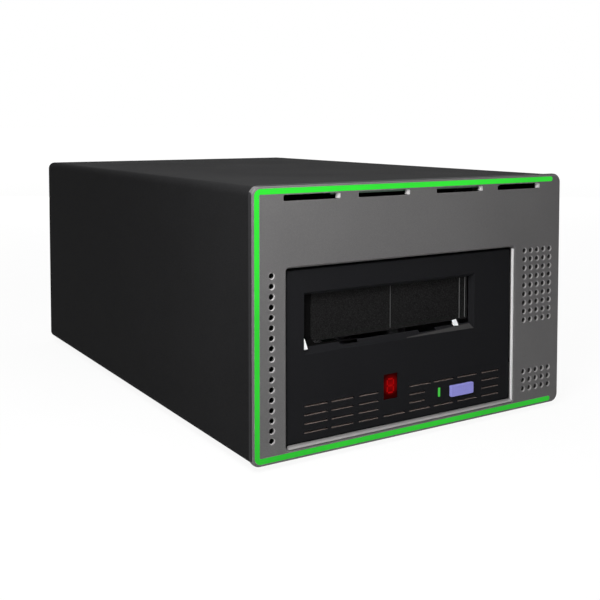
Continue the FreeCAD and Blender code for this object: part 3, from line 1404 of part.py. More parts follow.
def make_cords():
    """The leads inside the case, each from the plug or board it leaves to the one it meets."""
    x, y = POWER_PLUG
    socket_z = POWER_SOCKET[1]
    own_shape("drive_power_cable", tube("drive_power_cable", [
        (x, y, PLUG_TOP), (x, y, socket_z), (x, DRIVE_BACK + 8, socket_z)], 1.6))
    x, y = LIGHT_PLUG
    top = up(s.case_height)
    own_shape("light_cable", tube("light_cable", [
        (x, y, PLUG_TOP), (x, y, top - 78), (x - 2, y - 35, top - 51),
        (x - 4, y - 85, top - 43), (x - 3, back(105), top - 39), (x - 6, back(80), top - 31),
        (x - 18, back(52), top - 15), (x - 36, back(34), top - 8.5),
        (x - 36, back(15), top - 8.5)], 1.0))
    x, y = MAINS_PLUG
    inlet_x, low = INLET_X + 7, up(24)
    live = [(inlet_x, CASE_BACK - 30, low), (inlet_x, CASE_BACK - 50, low),
            (inlet_x + 17, y - 4, up(42)), (x - 26, y - 8, up(54)), (x - 3, y - 6, up(46)),
            (x - 3, y - 6, PLUG_TOP)]
    switched = [(SWITCH_X, CASE_BACK - 14, up(26)), (SWITCH_X, CASE_BACK - 32, up(26)),
                (SWITCH_X + 5, y + 12, up(40)), (x - 16, y + 4, up(52)), (x + 3, y + 6, up(44)),
                (x + 3, y + 6, PLUG_TOP)]
    leads = [tube("mains_lead", route, 1.2) for route in (live, switched)]
    own_shape("mains_leads", Part.makeCompound(leads))
    ribbon = new_body("data_ribbon")
    half = s.ribbon_thickness / 2
    low, high = DATA_SOCKET[1], PORT_Z + s.port_pitch / 2
    start, end = DRIVE_BACK + 7, BOARD_BACK - s.board_thickness - 6
    step = (start + end) / 2
    corners = [(start, low - half), (step + half, low - half), (step + half, high - half),
               (end, high - half), (end, high + half), (step - half, high + half),
               (step - half, low + half), (start, low + half)]
    bend = (high - low) * s.ribbon_bend_share
    outer, inner = bend + half, bend - half
    left = DATA_SOCKET[0] - s.ribbon_width / 2
    pad(ribbon, "YZ", left, left + s.ribbon_width,
        square_outline(corners, [0, outer, inner, 0, 0, outer, inner, 0]))


def make_cable_plugs():
    """The connector housings on the cords' ends."""
    def around(middle, half):
        return (middle - half, middle + half)

    x_power, z_power, width, _ = POWER_SOCKET
    x_data, z_data, data_width, _ = DATA_SOCKET
    header = BOARD_BACK - s.board_thickness
    z_header = PORT_Z + s.port_pitch / 2
    light = up(s.case_height - s.strip_margin - s.strip_width) - s.board_thickness
    on_board = (BOARD_TOP, PLUG_TOP)
    spots = {
        "power_supply": (around(POWER_PLUG[0], 6), around(POWER_PLUG[1], 4), on_board),
        "power_drive": (around(x_power, width / 2), (DRIVE_BACK + 1, DRIVE_BACK + 8),
                        around(z_power, 5)),
        "data_drive": (around(x_data, data_width / 2), (DRIVE_BACK + 1, DRIVE_BACK + 7),
                       around(z_data, 4)),
        "data_board": (around(x_data, data_width / 2), (header - 6, header),
                       around(z_header, 4)),
        "light_supply": (around(LIGHT_PLUG[0], 4), around(LIGHT_PLUG[1], 4), on_board),
        "light_board_end": (around(LIGHT_PLUG[0] - 36, 4), (back(8), back(15)),
                            (light - 5, light)),
        "mains_supply": (around(MAINS_PLUG[0], 7), around(MAINS_PLUG[1], 12), on_board),
    }
    group("cable_plugs", [block(f"plug_{name}", *spot) for name, spot in spots.items()])


# ---- build, check and write ------------------------------------------------------------

def check_document():
    """Stops if anything failed to build."""
    doc.recompute()
    for thing in doc.Objects:
        bad = [word for word in thing.State if word in ("Invalid", "Error")]
        if bad:
            raise RuntimeError(f"{thing.Name} is {bad}")
    for node, thing in nodes.items():
        shape = thing.Shape
        if shape.isNull() or not shape.isValid() or not shape.Solids:
            raise RuntimeError(f"{node} has no valid solid")


def write_parts():
    os.makedirs("parts", exist_ok=True)
    for node, thing in nodes.items():
        thing.Shape.exportStep(f"parts/{node}.step")
    print(len(nodes), "parts written")


for make in (make_front_panel, make_light_strip, make_light_board, make_case_cover,
             make_base_tray, make_rear_panel, make_rubber_feet, make_case_screws,
             make_drive_bezel, make_display, make_eject_button, make_cartridge_door,
             make_door_pins, make_drive_chassis, make_drive_cover, make_drive_board,
             make_drive_sockets, make_reels, make_rollers, make_head,
             make_loader_carriage, make_loader_gear, make_cradle, make_fan, make_fan_guard,
             make_power_inlet, make_power_switch, make_host_side, make_supply, make_cords,
             make_cable_plugs):
    make()
check_document()
write_parts()
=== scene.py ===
# %% [markdown]
# # A data tape drive, dressed for the studio
#
# The shapes of this tape drive come ready made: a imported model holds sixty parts, each in its
# place, in metres. This lesson gives every part its finish and adds the small things that
# catch the light on a real one: grain, wear, rims of holes, screw recesses, the wires of a
# flat cable. Nothing that came with the model is moved.

import json
import math

import bmesh
import bpy
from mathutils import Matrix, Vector


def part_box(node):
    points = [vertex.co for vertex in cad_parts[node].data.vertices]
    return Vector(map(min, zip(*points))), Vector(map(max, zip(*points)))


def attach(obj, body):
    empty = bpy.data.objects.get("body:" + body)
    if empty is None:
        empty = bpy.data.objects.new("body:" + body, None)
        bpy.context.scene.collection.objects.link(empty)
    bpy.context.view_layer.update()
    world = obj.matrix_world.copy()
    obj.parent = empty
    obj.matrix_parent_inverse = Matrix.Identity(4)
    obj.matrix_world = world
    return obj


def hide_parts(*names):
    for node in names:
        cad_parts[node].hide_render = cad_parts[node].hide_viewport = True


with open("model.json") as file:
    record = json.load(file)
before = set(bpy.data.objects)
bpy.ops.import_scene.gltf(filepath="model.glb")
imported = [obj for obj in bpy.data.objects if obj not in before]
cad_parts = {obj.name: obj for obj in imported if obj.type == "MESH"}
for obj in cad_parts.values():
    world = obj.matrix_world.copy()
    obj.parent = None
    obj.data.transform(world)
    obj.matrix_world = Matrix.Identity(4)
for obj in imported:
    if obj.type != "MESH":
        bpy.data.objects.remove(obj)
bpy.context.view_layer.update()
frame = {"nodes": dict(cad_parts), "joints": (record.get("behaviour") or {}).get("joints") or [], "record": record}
nodes = frame["nodes"]
record = frame["record"]
slot_of = {part["node"]: part["material_slot"] for part in record["subparts"]}

# %% [markdown]
# ## Places read from the model
#
# A piece that is added has to sit exactly on the part that carries it. So the faces, middles
# and turning points it starts from are read from the model, in millimetres, and only what the
# piece itself adds, such as a margin or a depth, is written as a number.

# %% Faces, middles and turning points
MM = 0.001
X, Y, Z = 0, 1, 2


def at(x, y, z):
    """A point given in millimetres, as a vector in metres."""
    return Vector((x, y, z)) * MM


def in_mm(values):
    """Metres as millimetres, to a micron."""
    return [round(value / MM, 3) for value in values]


def corners_of(node):
    """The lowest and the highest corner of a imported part, in millimetres."""
    low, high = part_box(node)
    return in_mm(low), in_mm(high)


def middle_of(node):
    """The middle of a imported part's box, in millimetres."""
    low, high = corners_of(node)
    return [round((a + b) / 2, 3) for a, b in zip(low, high)]


def pivot_of(joint):
    """The point that a hinge turns about, in millimetres."""
    return in_mm(next(item["pos_m"] for item in frame["joints"] if item["name"] == joint))


PANEL_LOW, PANEL_HIGH = corners_of("front_panel")
COVER_LOW, COVER_HIGH = corners_of("case_cover")
BEZEL_LOW, BEZEL_HIGH = corners_of("drive_bezel")
PANEL_FACE, BEZEL_FACE = PANEL_LOW[Y], BEZEL_LOW[Y]
print("panel face", PANEL_FACE, "bezel face", BEZEL_FACE, "mm")

# %% [markdown]
# ## Camera
#
# The object is seen from its front left and from slightly above. The lens is a normal one. A
# small downward shift frames the object without tilting the lens further, so that the case's
# upright edges stay nearly parallel, as in product pictures.

# %% Camera


def linked(name, data):
    """A new object of the scene."""
    thing = bpy.data.objects.new(name, data)
    bpy.context.scene.collection.objects.link(thing)
    return thing


CAMERA_AT = (-310.33, -536.01, 166.66)
CAMERA_TILT, CAMERA_TURN = 87.0, -31.917
camera_data = bpy.data.cameras.new("studio_camera")
camera_data.lens = 55.125
camera_data.sensor_width = 36.0
camera_data.shift_y = -0.2138
camera_data.clip_start = 0.01
camera_data.clip_end = 60.0
camera = linked("studio_camera", camera_data)
camera.location = at(*CAMERA_AT)
camera.rotation_euler = (math.radians(CAMERA_TILT), 0.0, math.radians(CAMERA_TURN))
bpy.context.scene.camera = camera
bpy.context.scene.view_settings.view_transform = "Standard"
print("camera", [round(v, 3) for v in camera.location])

# %% [markdown]
# ## Small helpers for node trees
#
# Every finish below is a tree of shader nodes. These helpers add a node, set or link its
# inputs, do sums and give back the socket that comes out, so that each finish reads as a short
# recipe.

# %% Node helpers


def add(tree, kind, label="", **settings):
    """Adds a node; settings are its own properties."""
    node = tree.nodes.new(kind)
    node.label = label
    for name, value in settings.items():
        setattr(node, name, value)
    return node


def put(tree, socket, value):
    """Sets an input: a plain value is written, a socket is linked."""
    if isinstance(value, bpy.types.NodeSocket):
        tree.links.new(value, socket)
    else:
        socket.default_value = value


def feed(tree, node, **sockets):
    """Sets inputs by name and gives the node back."""
    for name, value in sockets.items():
        put(tree, node.inputs[name.replace("_", " ")], value)
    return node


def math_node(tree, operation, a, b=0.0):
    """One Math node; a and b are numbers or sockets."""
    node = add(tree, "ShaderNodeMath", operation=operation)
    put(tree, node.inputs[0], a)
    put(tree, node.inputs[1], b)
    return node.outputs[0]


def spread(tree, value, low, high, new_low=0.0, new_high=1.0):
    """A clamped Map Range from low..high to new_low..new_high."""
    node = add(tree, "ShaderNodeMapRange")
    feed(tree, node, Value=value, From_Min=low, From_Max=high, To_Min=new_low, To_Max=new_high)
    return node.outputs["Result"]


# %% Helpers for colours and patterns


def own_place(tree):
    """The piece's own coordinates, in metres."""
    return add(tree, "ShaderNodeTexCoord").outputs["Object"]


def apart(tree, place):
    """The X, Y and Z of a place."""
    return feed(tree, add(tree, "ShaderNodeSeparateXYZ"), Vector=place).outputs


def noise_on(tree, place, **sockets):
    """Noise over these coordinates."""
    return feed(tree, add(tree, "ShaderNodeTexNoise"), Vector=place, **sockets).outputs["Fac"]


def shade_of(tree, value, contrast):
    """A colour factor near one: a value of a half leaves the colour as it is."""
    around = math_node(tree, "SUBTRACT", value, 0.5)
    return math_node(tree, "ADD", math_node(tree, "MULTIPLY", around, contrast), 1.0)


def scaled(tree, label, colour, factor):
    """A colour times a factor."""
    node = add(tree, "ShaderNodeVectorMath", label, operation="SCALE")
    put(tree, node.inputs[0], colour)
    put(tree, node.inputs["Scale"], factor)
    return node.outputs[0]


def mixed(tree, label, mask, colour, other):
    """The colour, turned into the other one where the mask is one."""
    node = add(tree, "ShaderNodeMix", label, data_type="RGBA")
    return feed(tree, node, Factor=mask, A=colour, B=other).outputs["Result"]


# %% Helpers that start a group or a material
FLOAT = "NodeSocketFloat"


def new_group(name, inputs, outputs):
    """An empty shader group of plain numbers: returns the tree, its input and its output."""
    tree = bpy.data.node_groups.new(name, "ShaderNodeTree")
    for label, value in inputs.items():
        socket = tree.interface.new_socket(label, in_out="INPUT", socket_type=FLOAT)
        socket.default_value = value
    for label in outputs:
        tree.interface.new_socket(label, in_out="OUTPUT", socket_type=FLOAT)
    return tree, tree.nodes.new("NodeGroupInput"), tree.nodes.new("NodeGroupOutput")


def placed(tree, group, **values):
    """A group placed in a material, with values of its own."""
    node = add(tree, "ShaderNodeGroup", group.name.replace("_", " "))
    node.node_tree = group
    return feed(tree, node, **values)


def new_material(name):
    """A material, its tree and its shader."""
    material = bpy.data.materials.new(name)
    material.use_nodes = True
    return material, material.node_tree, material.node_tree.nodes["Principled BSDF"]


# %% [markdown]
# ## Surface effects shared by many finishes
#
# Powder coat, moulded plastic, sheet metal and rubber differ in scale and strength, but the
# same few effects make them all: a fine grain, slow patches from handling, lines from brushing
# and pale edges, partly wear where paint thins and partly a painted highlight. Each effect is
# a group, built once and given its own numbers in every finish.

# %% Fine grain
CELLS_PER_GRAIN = 2.3


def grain_group():
    """Fine pebbled grain: a colour factor near one, and a height for bump."""
    tree, given, result = new_group("fine_grain", {"Scale": 900.0, "Contrast": 0.2},
                                    ("Shade", "Height"))
    place, scale = own_place(tree), given.outputs["Scale"]
    coarse = noise_on(tree, place, Scale=scale, Detail=3.0, Roughness=0.65)
    finer = math_node(tree, "MULTIPLY", scale, CELLS_PER_GRAIN)
    cells = feed(tree, add(tree, "ShaderNodeTexVoronoi"), Vector=place, Scale=finer)
    pebbles = math_node(tree, "MULTIPLY", coarse, cells.outputs["Distance"])
    height = spread(tree, pebbles, 0.05, 0.45)
    feed(tree, result, Shade=shade_of(tree, height, given.outputs["Contrast"]), Height=height)
    return tree


fine_grain = grain_group()
print("group", fine_grain.name)

# %% Slow patches


def patch_group():
    """Broad, faint patches, as handling and uneven coating leave."""
    tree, given, result = new_group("slow_patches", {"Scale": 14.0, "Strength": 0.1},
                                    ("Shade", "Mask"))
    broad = noise_on(tree, own_place(tree), Scale=given.outputs["Scale"], Detail=4.0,
                     Roughness=0.55)
    mask = spread(tree, broad, 0.3, 0.7)
    feed(tree, result, Shade=shade_of(tree, mask, given.outputs["Strength"]), Mask=mask)
    return tree


slow_patches = patch_group()
print("group", slow_patches.name)

# %% Brushed lines
LINE_STRETCH = (0.02, 1.0, 1.0)


def brush_group():
    """Long hairlines along X, as a rolled or brushed sheet shows."""
    tree, given, result = new_group("brushed_lines", {"Fineness": 1800.0, "Strength": 0.15},
                                    ("Shade", "Height"))
    stretch = feed(tree, add(tree, "ShaderNodeMapping"), Vector=own_place(tree),
                   Scale=LINE_STRETCH)
    height = noise_on(tree, stretch.outputs[0], Scale=given.outputs["Fineness"], Detail=2.0)
    feed(tree, result, Shade=shade_of(tree, height, given.outputs["Strength"]), Height=height)
    return tree


brushed_lines = brush_group()
print("group", brushed_lines.name)

# %% Worn edges and painted edge highlight
# Wear and painted highlight start where the rounded normal leans 10 degrees from the true one, and are full at 32.
EDGE_MARK_STARTS, EDGE_MARK_FULL = 0.985, 0.85


def edge_group():
    """A mask of outer edges, found by comparing the bevelled normal with the true one."""
    tree, given, result = new_group("worn_edges", {"Reach": 0.0006, "Strength": 0.5}, ("Mask",))
    soft = feed(tree, add(tree, "ShaderNodeBevel", samples=4), Radius=given.outputs["Reach"])
    dot = add(tree, "ShaderNodeVectorMath", operation="DOT_PRODUCT")
    put(tree, dot.inputs[0], soft.outputs[0])
    put(tree, dot.inputs[1], add(tree, "ShaderNodeNewGeometry").outputs["Normal"])
    bent = spread(tree, dot.outputs["Value"], EDGE_MARK_STARTS, EDGE_MARK_FULL)
    chips = spread(tree, noise_on(tree, own_place(tree), Scale=260.0, Detail=4.0), 0.35, 0.65)
    broken = math_node(tree, "MULTIPLY", bent, chips)
    feed(tree, result, Mask=math_node(tree, "MULTIPLY", broken, given.outputs["Strength"]))
    return tree


worn_edges = edge_group()
print("group", worn_edges.name)

# %% Dark rim of the panel behind its face
RIM_BEYOND, RIM_FADE = 0.1, 0.1
RIM_DARK = (0.02, 0.02, 0.021, 1.0)


def wrap_group():
    """A mask of the rim of the panel, where it stands out past the cover, behind From."""
    tree, given, result = new_group("wrapped_coat", {"From": 0.0}, ("Mask",))
    place = apart(tree, own_place(tree))
    side, top = (COVER_HIGH[axis] + RIM_BEYOND for axis in (X, Z))
    low = COVER_LOW[Z] - RIM_BEYOND
    aside = math_node(tree, "ABSOLUTE", place["X"])
    rim = math_node(tree, "GREATER_THAN", aside, side * MM)
    for operation, level in (("GREATER_THAN", top), ("LESS_THAN", low)):
        past = math_node(tree, operation, place["Z"], level * MM)
        rim = math_node(tree, "MAXIMUM", rim, past)
    depth = math_node(tree, "SUBTRACT", place["Y"], given.outputs["From"])
    behind = spread(tree, depth, 0.0, RIM_FADE * MM)
    feed(tree, result, Mask=math_node(tree, "MULTIPLY", rim, behind))
    return tree


wrapped_coat = wrap_group()
print("group", wrapped_coat.name)

# %% [markdown]
# ## Finishes
#
# One recipe covers the solid finishes. It takes the plain colour, multiplies it by the grain
# and the patches, lightens it along edges as wear and as a painted highlight, lets the patches
# drive roughness and the grain a shallow bump. The plain numbers, such as metallic or coat, are
# set straight on the shader. Each finish is kept under its name.

# %% The recipe
FINISHES = {}
ROUGHNESS_SWING = 0.04


def finish(name, colour, roughness, metallic=0.0, grain=(900.0, 0.2, 0.03), patches=0.1,
           brushed=0.0, edges=None, edge_colour=(0.3, 0.3, 0.3), plain=None, wrap=None):
    """A solid finish.

    grain is (scale, contrast, bump depth in millimetres), edges is (reach in metres, strength)
    and wrap is the place along Y, in metres, behind which the rim is coloured as dark as the case.
    """
    material, tree, shader = new_material(name)
    for label, value in {"Metallic": metallic, **(plain or {})}.items():
        shader.inputs[label].default_value = value

    scale, contrast, bump_depth = grain
    fine = placed(tree, fine_grain, Scale=scale, Contrast=contrast)
    broad = placed(tree, slow_patches, Strength=patches)
    shade = math_node(tree, "MULTIPLY", fine.outputs["Shade"], broad.outputs["Shade"])
    height = fine.outputs["Height"]
    if brushed:
        lines = placed(tree, brushed_lines, Strength=brushed)
        shade = math_node(tree, "MULTIPLY", shade, lines.outputs["Shade"])
        height = math_node(tree, "ADD", height, lines.outputs["Height"])

    coloured = scaled(tree, "colour times shade", colour, shade)
    if edges:
        reach, strength = edges
        # The pale edge is partly wear and partly a painted highlight.
        edge_mark = placed(tree, worn_edges, Reach=reach, Strength=strength).outputs["Mask"]
        coloured = mixed(tree, "paint to worn and highlighted edge", edge_mark, coloured, (*edge_colour, 1.0))
    if wrap:
        dark_share = placed(tree, wrapped_coat, From=wrap).outputs["Mask"]
        coloured = mixed(tree, "metal to dark rim", dark_share, coloured, RIM_DARK)
        bare = math_node(tree, "SUBTRACT", 1.0, dark_share)
        feed(tree, shader, Metallic=math_node(tree, "MULTIPLY", bare, metallic))

    smooth, dull = roughness - ROUGHNESS_SWING, roughness + ROUGHNESS_SWING
    rough = spread(tree, broad.outputs["Mask"], 0.0, 1.0, smooth, dull)
    bump = feed(tree, add(tree, "ShaderNodeBump"), Height=height, Distance=bump_depth * MM,
                Strength=1.0)
    feed(tree, shader, Base_Color=coloured, Roughness=rough, Normal=bump.outputs[0])
    FINISHES[name] = material


# %% [markdown]
# ## Lit finishes
#
# The strip, the small status bar and the display give off light of their own. Each is a
# coloured plastic with a faint gloss and some emission of the same colour, kept near one so
# that the hue doesn't wash out to white. Slow noise along the guide stands for the lamps
# behind it, which never light it quite evenly.

# %% Lit recipe
UNLIT_SHARE, FAR_SHARE = 0.3, 0.1


def lit_finish(name, colour, strength, unevenness=0.1, roughness=0.3, fade=None, glow_at=None,
               gloss=0.1):
    """A glowing plastic.

    fade is (low, high, factor at low, factor at high), along Z in metres. glow_at is (centre,
    reach): the glow then fades to a tenth at that distance.
    """
    material, tree, shader = new_material(name)
    place = own_place(tree)
    lamps = noise_on(tree, place, Scale=22.0, Detail=1.0)
    level = spread(tree, lamps, 0.3, 0.7, 1.0 - unevenness, 1.0 + unevenness)
    if fade:
        climb = spread(tree, apart(tree, place)["Z"], *fade)
        level = math_node(tree, "MULTIPLY", level, climb)
    if glow_at:
        centre, reach = glow_at
        gap = add(tree, "ShaderNodeVectorMath", "distance from the lamp", operation="DISTANCE")
        put(tree, gap.inputs[0], place)
        put(tree, gap.inputs[1], centre)
        near = spread(tree, gap.outputs["Value"], 0.0, reach, 1.0, FAR_SHARE)
        level = math_node(tree, "MULTIPLY", level, near)
    glow = scaled(tree, "glow colour", colour, level)
    unlit = scaled(tree, "plastic colour", glow, UNLIT_SHARE)
    feed(tree, shader, Roughness=roughness, Specular_IOR_Level=gloss, Base_Color=unlit,
         Emission_Strength=strength, Emission_Color=glow)
    FINISHES[name] = material


# %% [markdown]
# ## One finish for each slot of the record
#
# The case is powder coated black. The panel is aluminium with a satin grey metallic coat. The
# drive's front is moulded plastic with a very fine spark grain, and its door a coarser one.
# Inside are zinc-plated sheet, cast metal, boards and nylon. A few more finishes are for the
# small pieces that are added below.

# %% Case and panel finishes
# Almost no mirror gleam: a white room would turn coats as dark as these grey.
DULL = {"Specular IOR Level": 0.003}
# Behind this depth the panel's rim is coloured as dark as the case.
RIM_DARK_START = 0.6
PANEL_COAT = {"colour": (0.112, 0.109, 0.110), "roughness": 0.5, "metallic": 0.1,
              "grain": (2600.0, 0.30, 0.006), "patches": 0.14,
              "plain": {"Specular IOR Level": 0.05}}
# The pale edges of the panel are partly wear and partly a painted highlight on its rounded rims.
finish("panel_metal", **PANEL_COAT, edges=(0.0006, 0.75), edge_colour=(0.26, 0.25, 0.25),
       wrap=(PANEL_FACE + RIM_DARK_START) * MM)
finish("panel_plain", **PANEL_COAT)
finish("case_black", (0.0135, 0.0135, 0.0140), 0.55, grain=(1500.0, 0.5, 0.02), patches=0.2,
       edges=(0.0007, 0.25), edge_colour=(0.05, 0.05, 0.05), plain=DULL)
finish("rear_black", (0.018, 0.018, 0.019), 0.52, grain=(1500.0, 0.5, 0.02), patches=0.2,
       edges=(0.0004, 0.3), edge_colour=(0.08, 0.08, 0.08), plain=DULL)
finish("tray_steel", (0.42, 0.42, 0.43), 0.36, metallic=0.95, grain=(240.0, 0.35, 0.004),
       patches=0.25, brushed=0.2)
finish("sheet_metal", (0.50, 0.50, 0.50), 0.34, metallic=0.95, grain=(300.0, 0.25, 0.004),
       patches=0.2, brushed=0.25)
finish("plated_steel", (0.55, 0.55, 0.56), 0.25, metallic=1.0, grain=(1600.0, 0.12, 0.003))
finish("screw_steel", (0.05, 0.05, 0.052), 0.36, metallic=0.7, grain=(2200.0, 0.4, 0.008),
       edges=(0.0003, 0.6))
finish("guard_chrome", (0.55, 0.55, 0.55), 0.18, metallic=1.0, grain=(2600.0, 0.1, 0.002))
finish("cast_metal", (0.30, 0.30, 0.31), 0.5, metallic=0.9, grain=(700.0, 0.35, 0.03))
print(len(FINISHES), "metal and paint finishes")

# %% Plastic, board and cord finishes
finish("bezel_black", (0.0112, 0.0113, 0.0124), 0.42, grain=(3200.0, 0.35, 0.006),
       patches=0.12, edges=(0.0005, 0.35), edge_colour=(0.04, 0.04, 0.042), plain=DULL)
finish("door_black", (0.0108, 0.0108, 0.0108), 0.6, grain=(1150.0, 1.6, 0.07), patches=0.15,
       plain=DULL)
finish("button_lavender", (0.26, 0.255, 0.63), 0.45, grain=(2200.0, 0.12, 0.006),
       patches=0.06, plain=DULL)
finish("foot_rubber", (0.018, 0.018, 0.018), 0.8, grain=(1200.0, 0.4, 0.03), plain=DULL)
finish("plastic_black", (0.018, 0.018, 0.019), 0.45, grain=(1900.0, 0.35, 0.01),
       edges=(0.0004, 0.3), edge_colour=(0.07, 0.07, 0.07), plain=DULL)
finish("nylon_white", (0.72, 0.70, 0.64), 0.42, grain=(900.0, 0.08, 0.01),
       plain={"Subsurface Weight": 0.15})
finish("board_green", (0.02, 0.10, 0.045), 0.4, grain=(420.0, 0.5, 0.01), patches=0.2,
       plain={"Coat Weight": 0.4})
finish("blade_brass", (0.62, 0.56, 0.42), 0.25, metallic=1.0, grain=(1600.0, 0.1, 0.003))
finish("sleeve_blue", (0.02, 0.035, 0.16), 0.35, grain=(900.0, 0.1, 0.005))
finish("core_dark", (0.05, 0.04, 0.035), 0.55, grain=(500.0, 0.3, 0.02), brushed=0.3)
finish("cord_grey", (0.35, 0.35, 0.36), 0.5, grain=(900.0, 0.12, 0.01))
finish("cord_black", (0.02, 0.02, 0.02), 0.5, grain=(1400.0, 0.2, 0.01))
print(len(FINISHES), "finishes that don't glow")

# %% Lit finishes of the strip, the display and the status bar
WINDOW_FACE = corners_of("display_window")[0][Y]
WINDOW_AT, _, WINDOW_LEVEL = middle_of("display_window")
GLOW_OFF, GLOW_REACH = 0.5, 0.0058
red_lamp = at(WINDOW_AT + GLOW_OFF, WINDOW_FACE, WINDOW_LEVEL + GLOW_OFF)
lit_finish("light_guide", (0.022, 0.52, 0.026), 0.85, 0.08, fade=(0.01, 0.13, 0.85, 1.2))
lit_finish("display_red", (0.20, 0.001, 0.002), 1.0, 0.1, 0.15,
           glow_at=(red_lamp, GLOW_REACH), gloss=0.003)
lit_finish("digit_glow", (0.24, 0.002, 0.002), 1.0, 0.1, 0.4, gloss=0.003)
lit_finish("status_green", (0.05, 0.42, 0.05), 0.9, 0.05, gloss=0.003)
print("window middle", WINDOW_AT, WINDOW_LEVEL, "mm")

# %% Finishes of the added pieces
finish("drilled_edge", (0.39, 0.38, 0.38), 0.42, grain=(2600.0, 0.2, 0.004), plain=DULL)
finish("milled_edge", (0.28, 0.27, 0.27), 0.45, metallic=0.2, grain=(1900.0, 0.25, 0.004))
# Cut metal, made brighter still as a painted glint on the opening's right edge and the vent ends.
finish("bright_edge", (0.66, 0.65, 0.65), 0.4, metallic=0.2, grain=(1900.0, 0.2, 0.004))
# This grey is a painted sheen on the lip below the mouth.
finish("moulded_gleam", (0.042, 0.041, 0.041), 0.45, grain=(1900.0, 0.3, 0.006), plain=DULL)
# This black is painted shade for the gaps around the door.
finish("seal_black", (0.004, 0.004, 0.004), 0.9, grain=(900.0, 0.5, 0.02), plain=DULL)
# The slit lips' pale brown is a painted highlight.
finish("louvre_edge", (0.17, 0.13, 0.115), 0.5, grain=(1500.0, 0.6, 0.01))
# The pale and the dim door lines are painted highlights of the door's edges.
finish("pale_trim", (0.13, 0.13, 0.13), 0.45, metallic=0.2, grain=(1800.0, 0.4, 0.004))
finish("dull_trim", (0.09, 0.09, 0.09), 0.5, metallic=0.3, grain=(1500.0, 0.8, 0.004))
finish("ribbon_grey", (0.38, 0.38, 0.39), 0.5, grain=(900.0, 0.12, 0.01))
finish("mark_white", (0.75, 0.75, 0.73), 0.5, grain=(1200.0, 0.08, 0.005))
# This white is a painted glint at the mouth's lower corners.
finish("guide_white", (0.85, 0.85, 0.84), 0.35, grain=(900.0, 0.06, 0.005),
       plain={"Subsurface Weight": 0.1})
print(len(FINISHES), "finishes in all")

# %% Give every part its finish
for name, thing in nodes.items():
    thing.data.materials.clear()
    thing.data.materials.append(FINISHES[slot_of[name]])
print("finished", len(nodes), "parts")

# %% [markdown]
# ## Trees that repeat a shape
#
# Holes, slits, screws and the wires of a flat cable are all one small shape, set down many
# times. A Geometry Nodes tree does that best: one place holds the shape and its sizes, and a
# bare mesh of points or lines says where the copies go. The helper below grows a piece from
# such a tree, keeps the result as a plain mesh and hands it to the body that carries it.

# %% Helpers for shape trees
GEOMETRY, FINISH = "NodeSocketGeometry", "NodeSocketMaterial"


def new_shape(name, sizes):
    """An empty geometry tree whose inputs are the base mesh, these sizes and a finish."""
    tree = bpy.data.node_groups.new(name, "GeometryNodeTree")
    tree.is_modifier = True
    tree.interface.new_socket("Base", in_out="INPUT", socket_type=GEOMETRY)
    for label, value in sizes.items():
        socket = tree.interface.new_socket(label, in_out="INPUT", socket_type=FLOAT)
        socket.default_value = value
    tree.interface.new_socket("Finish", in_out="INPUT", socket_type=FINISH)
    tree.interface.new_socket("Shape", in_out="OUTPUT", socket_type=GEOMETRY)
    return tree, tree.nodes.new("NodeGroupInput")


def end_shape(tree, given, shape):
    """Realizes the copies, gives them the finish and closes the tree."""
    whole = add(tree, "GeometryNodeRealizeInstances")
    tree.links.new(shape, whole.inputs[0])
    painted = add(tree, "GeometryNodeSetMaterial")
    tree.links.new(whole.outputs[0], painted.inputs["Geometry"])
    tree.links.new(given.outputs["Finish"], painted.inputs["Material"])
    tree.links.new(painted.outputs[0], tree.nodes.new("NodeGroupOutput").inputs[0])
    return tree


def vector(tree, x, y, z=0.0):
    """A vector made of three numbers or sockets."""
    return feed(tree, add(tree, "ShaderNodeCombineXYZ"), X=x, Y=y, Z=z).outputs[0]


def raised(tree, shape, height):
    """The shape, moved up along Z."""
    node = add(tree, "GeometryNodeTransform")
    return feed(tree, node, Geometry=shape, Translation=vector(tree, 0.0, 0.0, height)).outputs[0]


def swept(tree, path, section, caps=True):
    """A section swept along a path."""
    node = add(tree, "GeometryNodeCurveToMesh")
    feed(tree, node, Curve=path, Profile_Curve=section, Fill_Caps=caps)
    return node.outputs[0]


def four_cornered(tree, *points):
    """A closed outline through four points."""
    node = add(tree, "GeometryNodeCurvePrimitiveQuadrilateral", mode="POINTS")
    for number, point in enumerate(points, 1):
        put(tree, node.inputs[f"Point {number}"], point)
    return node.outputs[0]


# %% Helpers that make a piece


def settle(thing, body, replaced=()):
    """Turns a mesh's shells outwards and hands the piece to its body."""
    work = bmesh.new()
    work.from_mesh(thing.data)
    bmesh.ops.recalc_face_normals(work, faces=work.faces)
    work.to_mesh(thing.data)
    work.free()
    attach(thing, body)
    if replaced:
        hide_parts(*replaced)
    print("made", thing.name, len(thing.data.polygons), "faces on", body)
    return thing


def grow(name, tree, finish_name, points, lines=(), facing=None, body="root", replaced=(),
         **sizes):
    """Grows a piece from a tree. Points and sizes are in millimetres."""
    base = bpy.data.meshes.new(name)
    base.from_pydata([at(*point) for point in points], list(lines), [])
    if facing:
        store = base.attributes.new("facing", "FLOAT_VECTOR", "POINT")
        for item, way in zip(store.data, facing):
            item.vector = way
    thing = linked(name, base)
    growth = thing.modifiers.new("growth", "NODES")
    growth.node_group = tree
    for item in tree.interface.items_tree:
        label = item.name.replace(" ", "_")
        if item.in_out == "INPUT" and label in sizes:
            growth[item.identifier] = sizes[label] * MM
        if item.in_out == "INPUT" and item.name == "Finish":
            growth[item.identifier] = FINISHES[finish_name]
    grown = thing.evaluated_get(bpy.context.evaluated_depsgraph_get())
    mesh = bpy.data.meshes.new_from_object(grown)
    thing.modifiers.remove(growth)
    thing.data = mesh
    mesh.name = name
    return settle(thing, body, replaced)


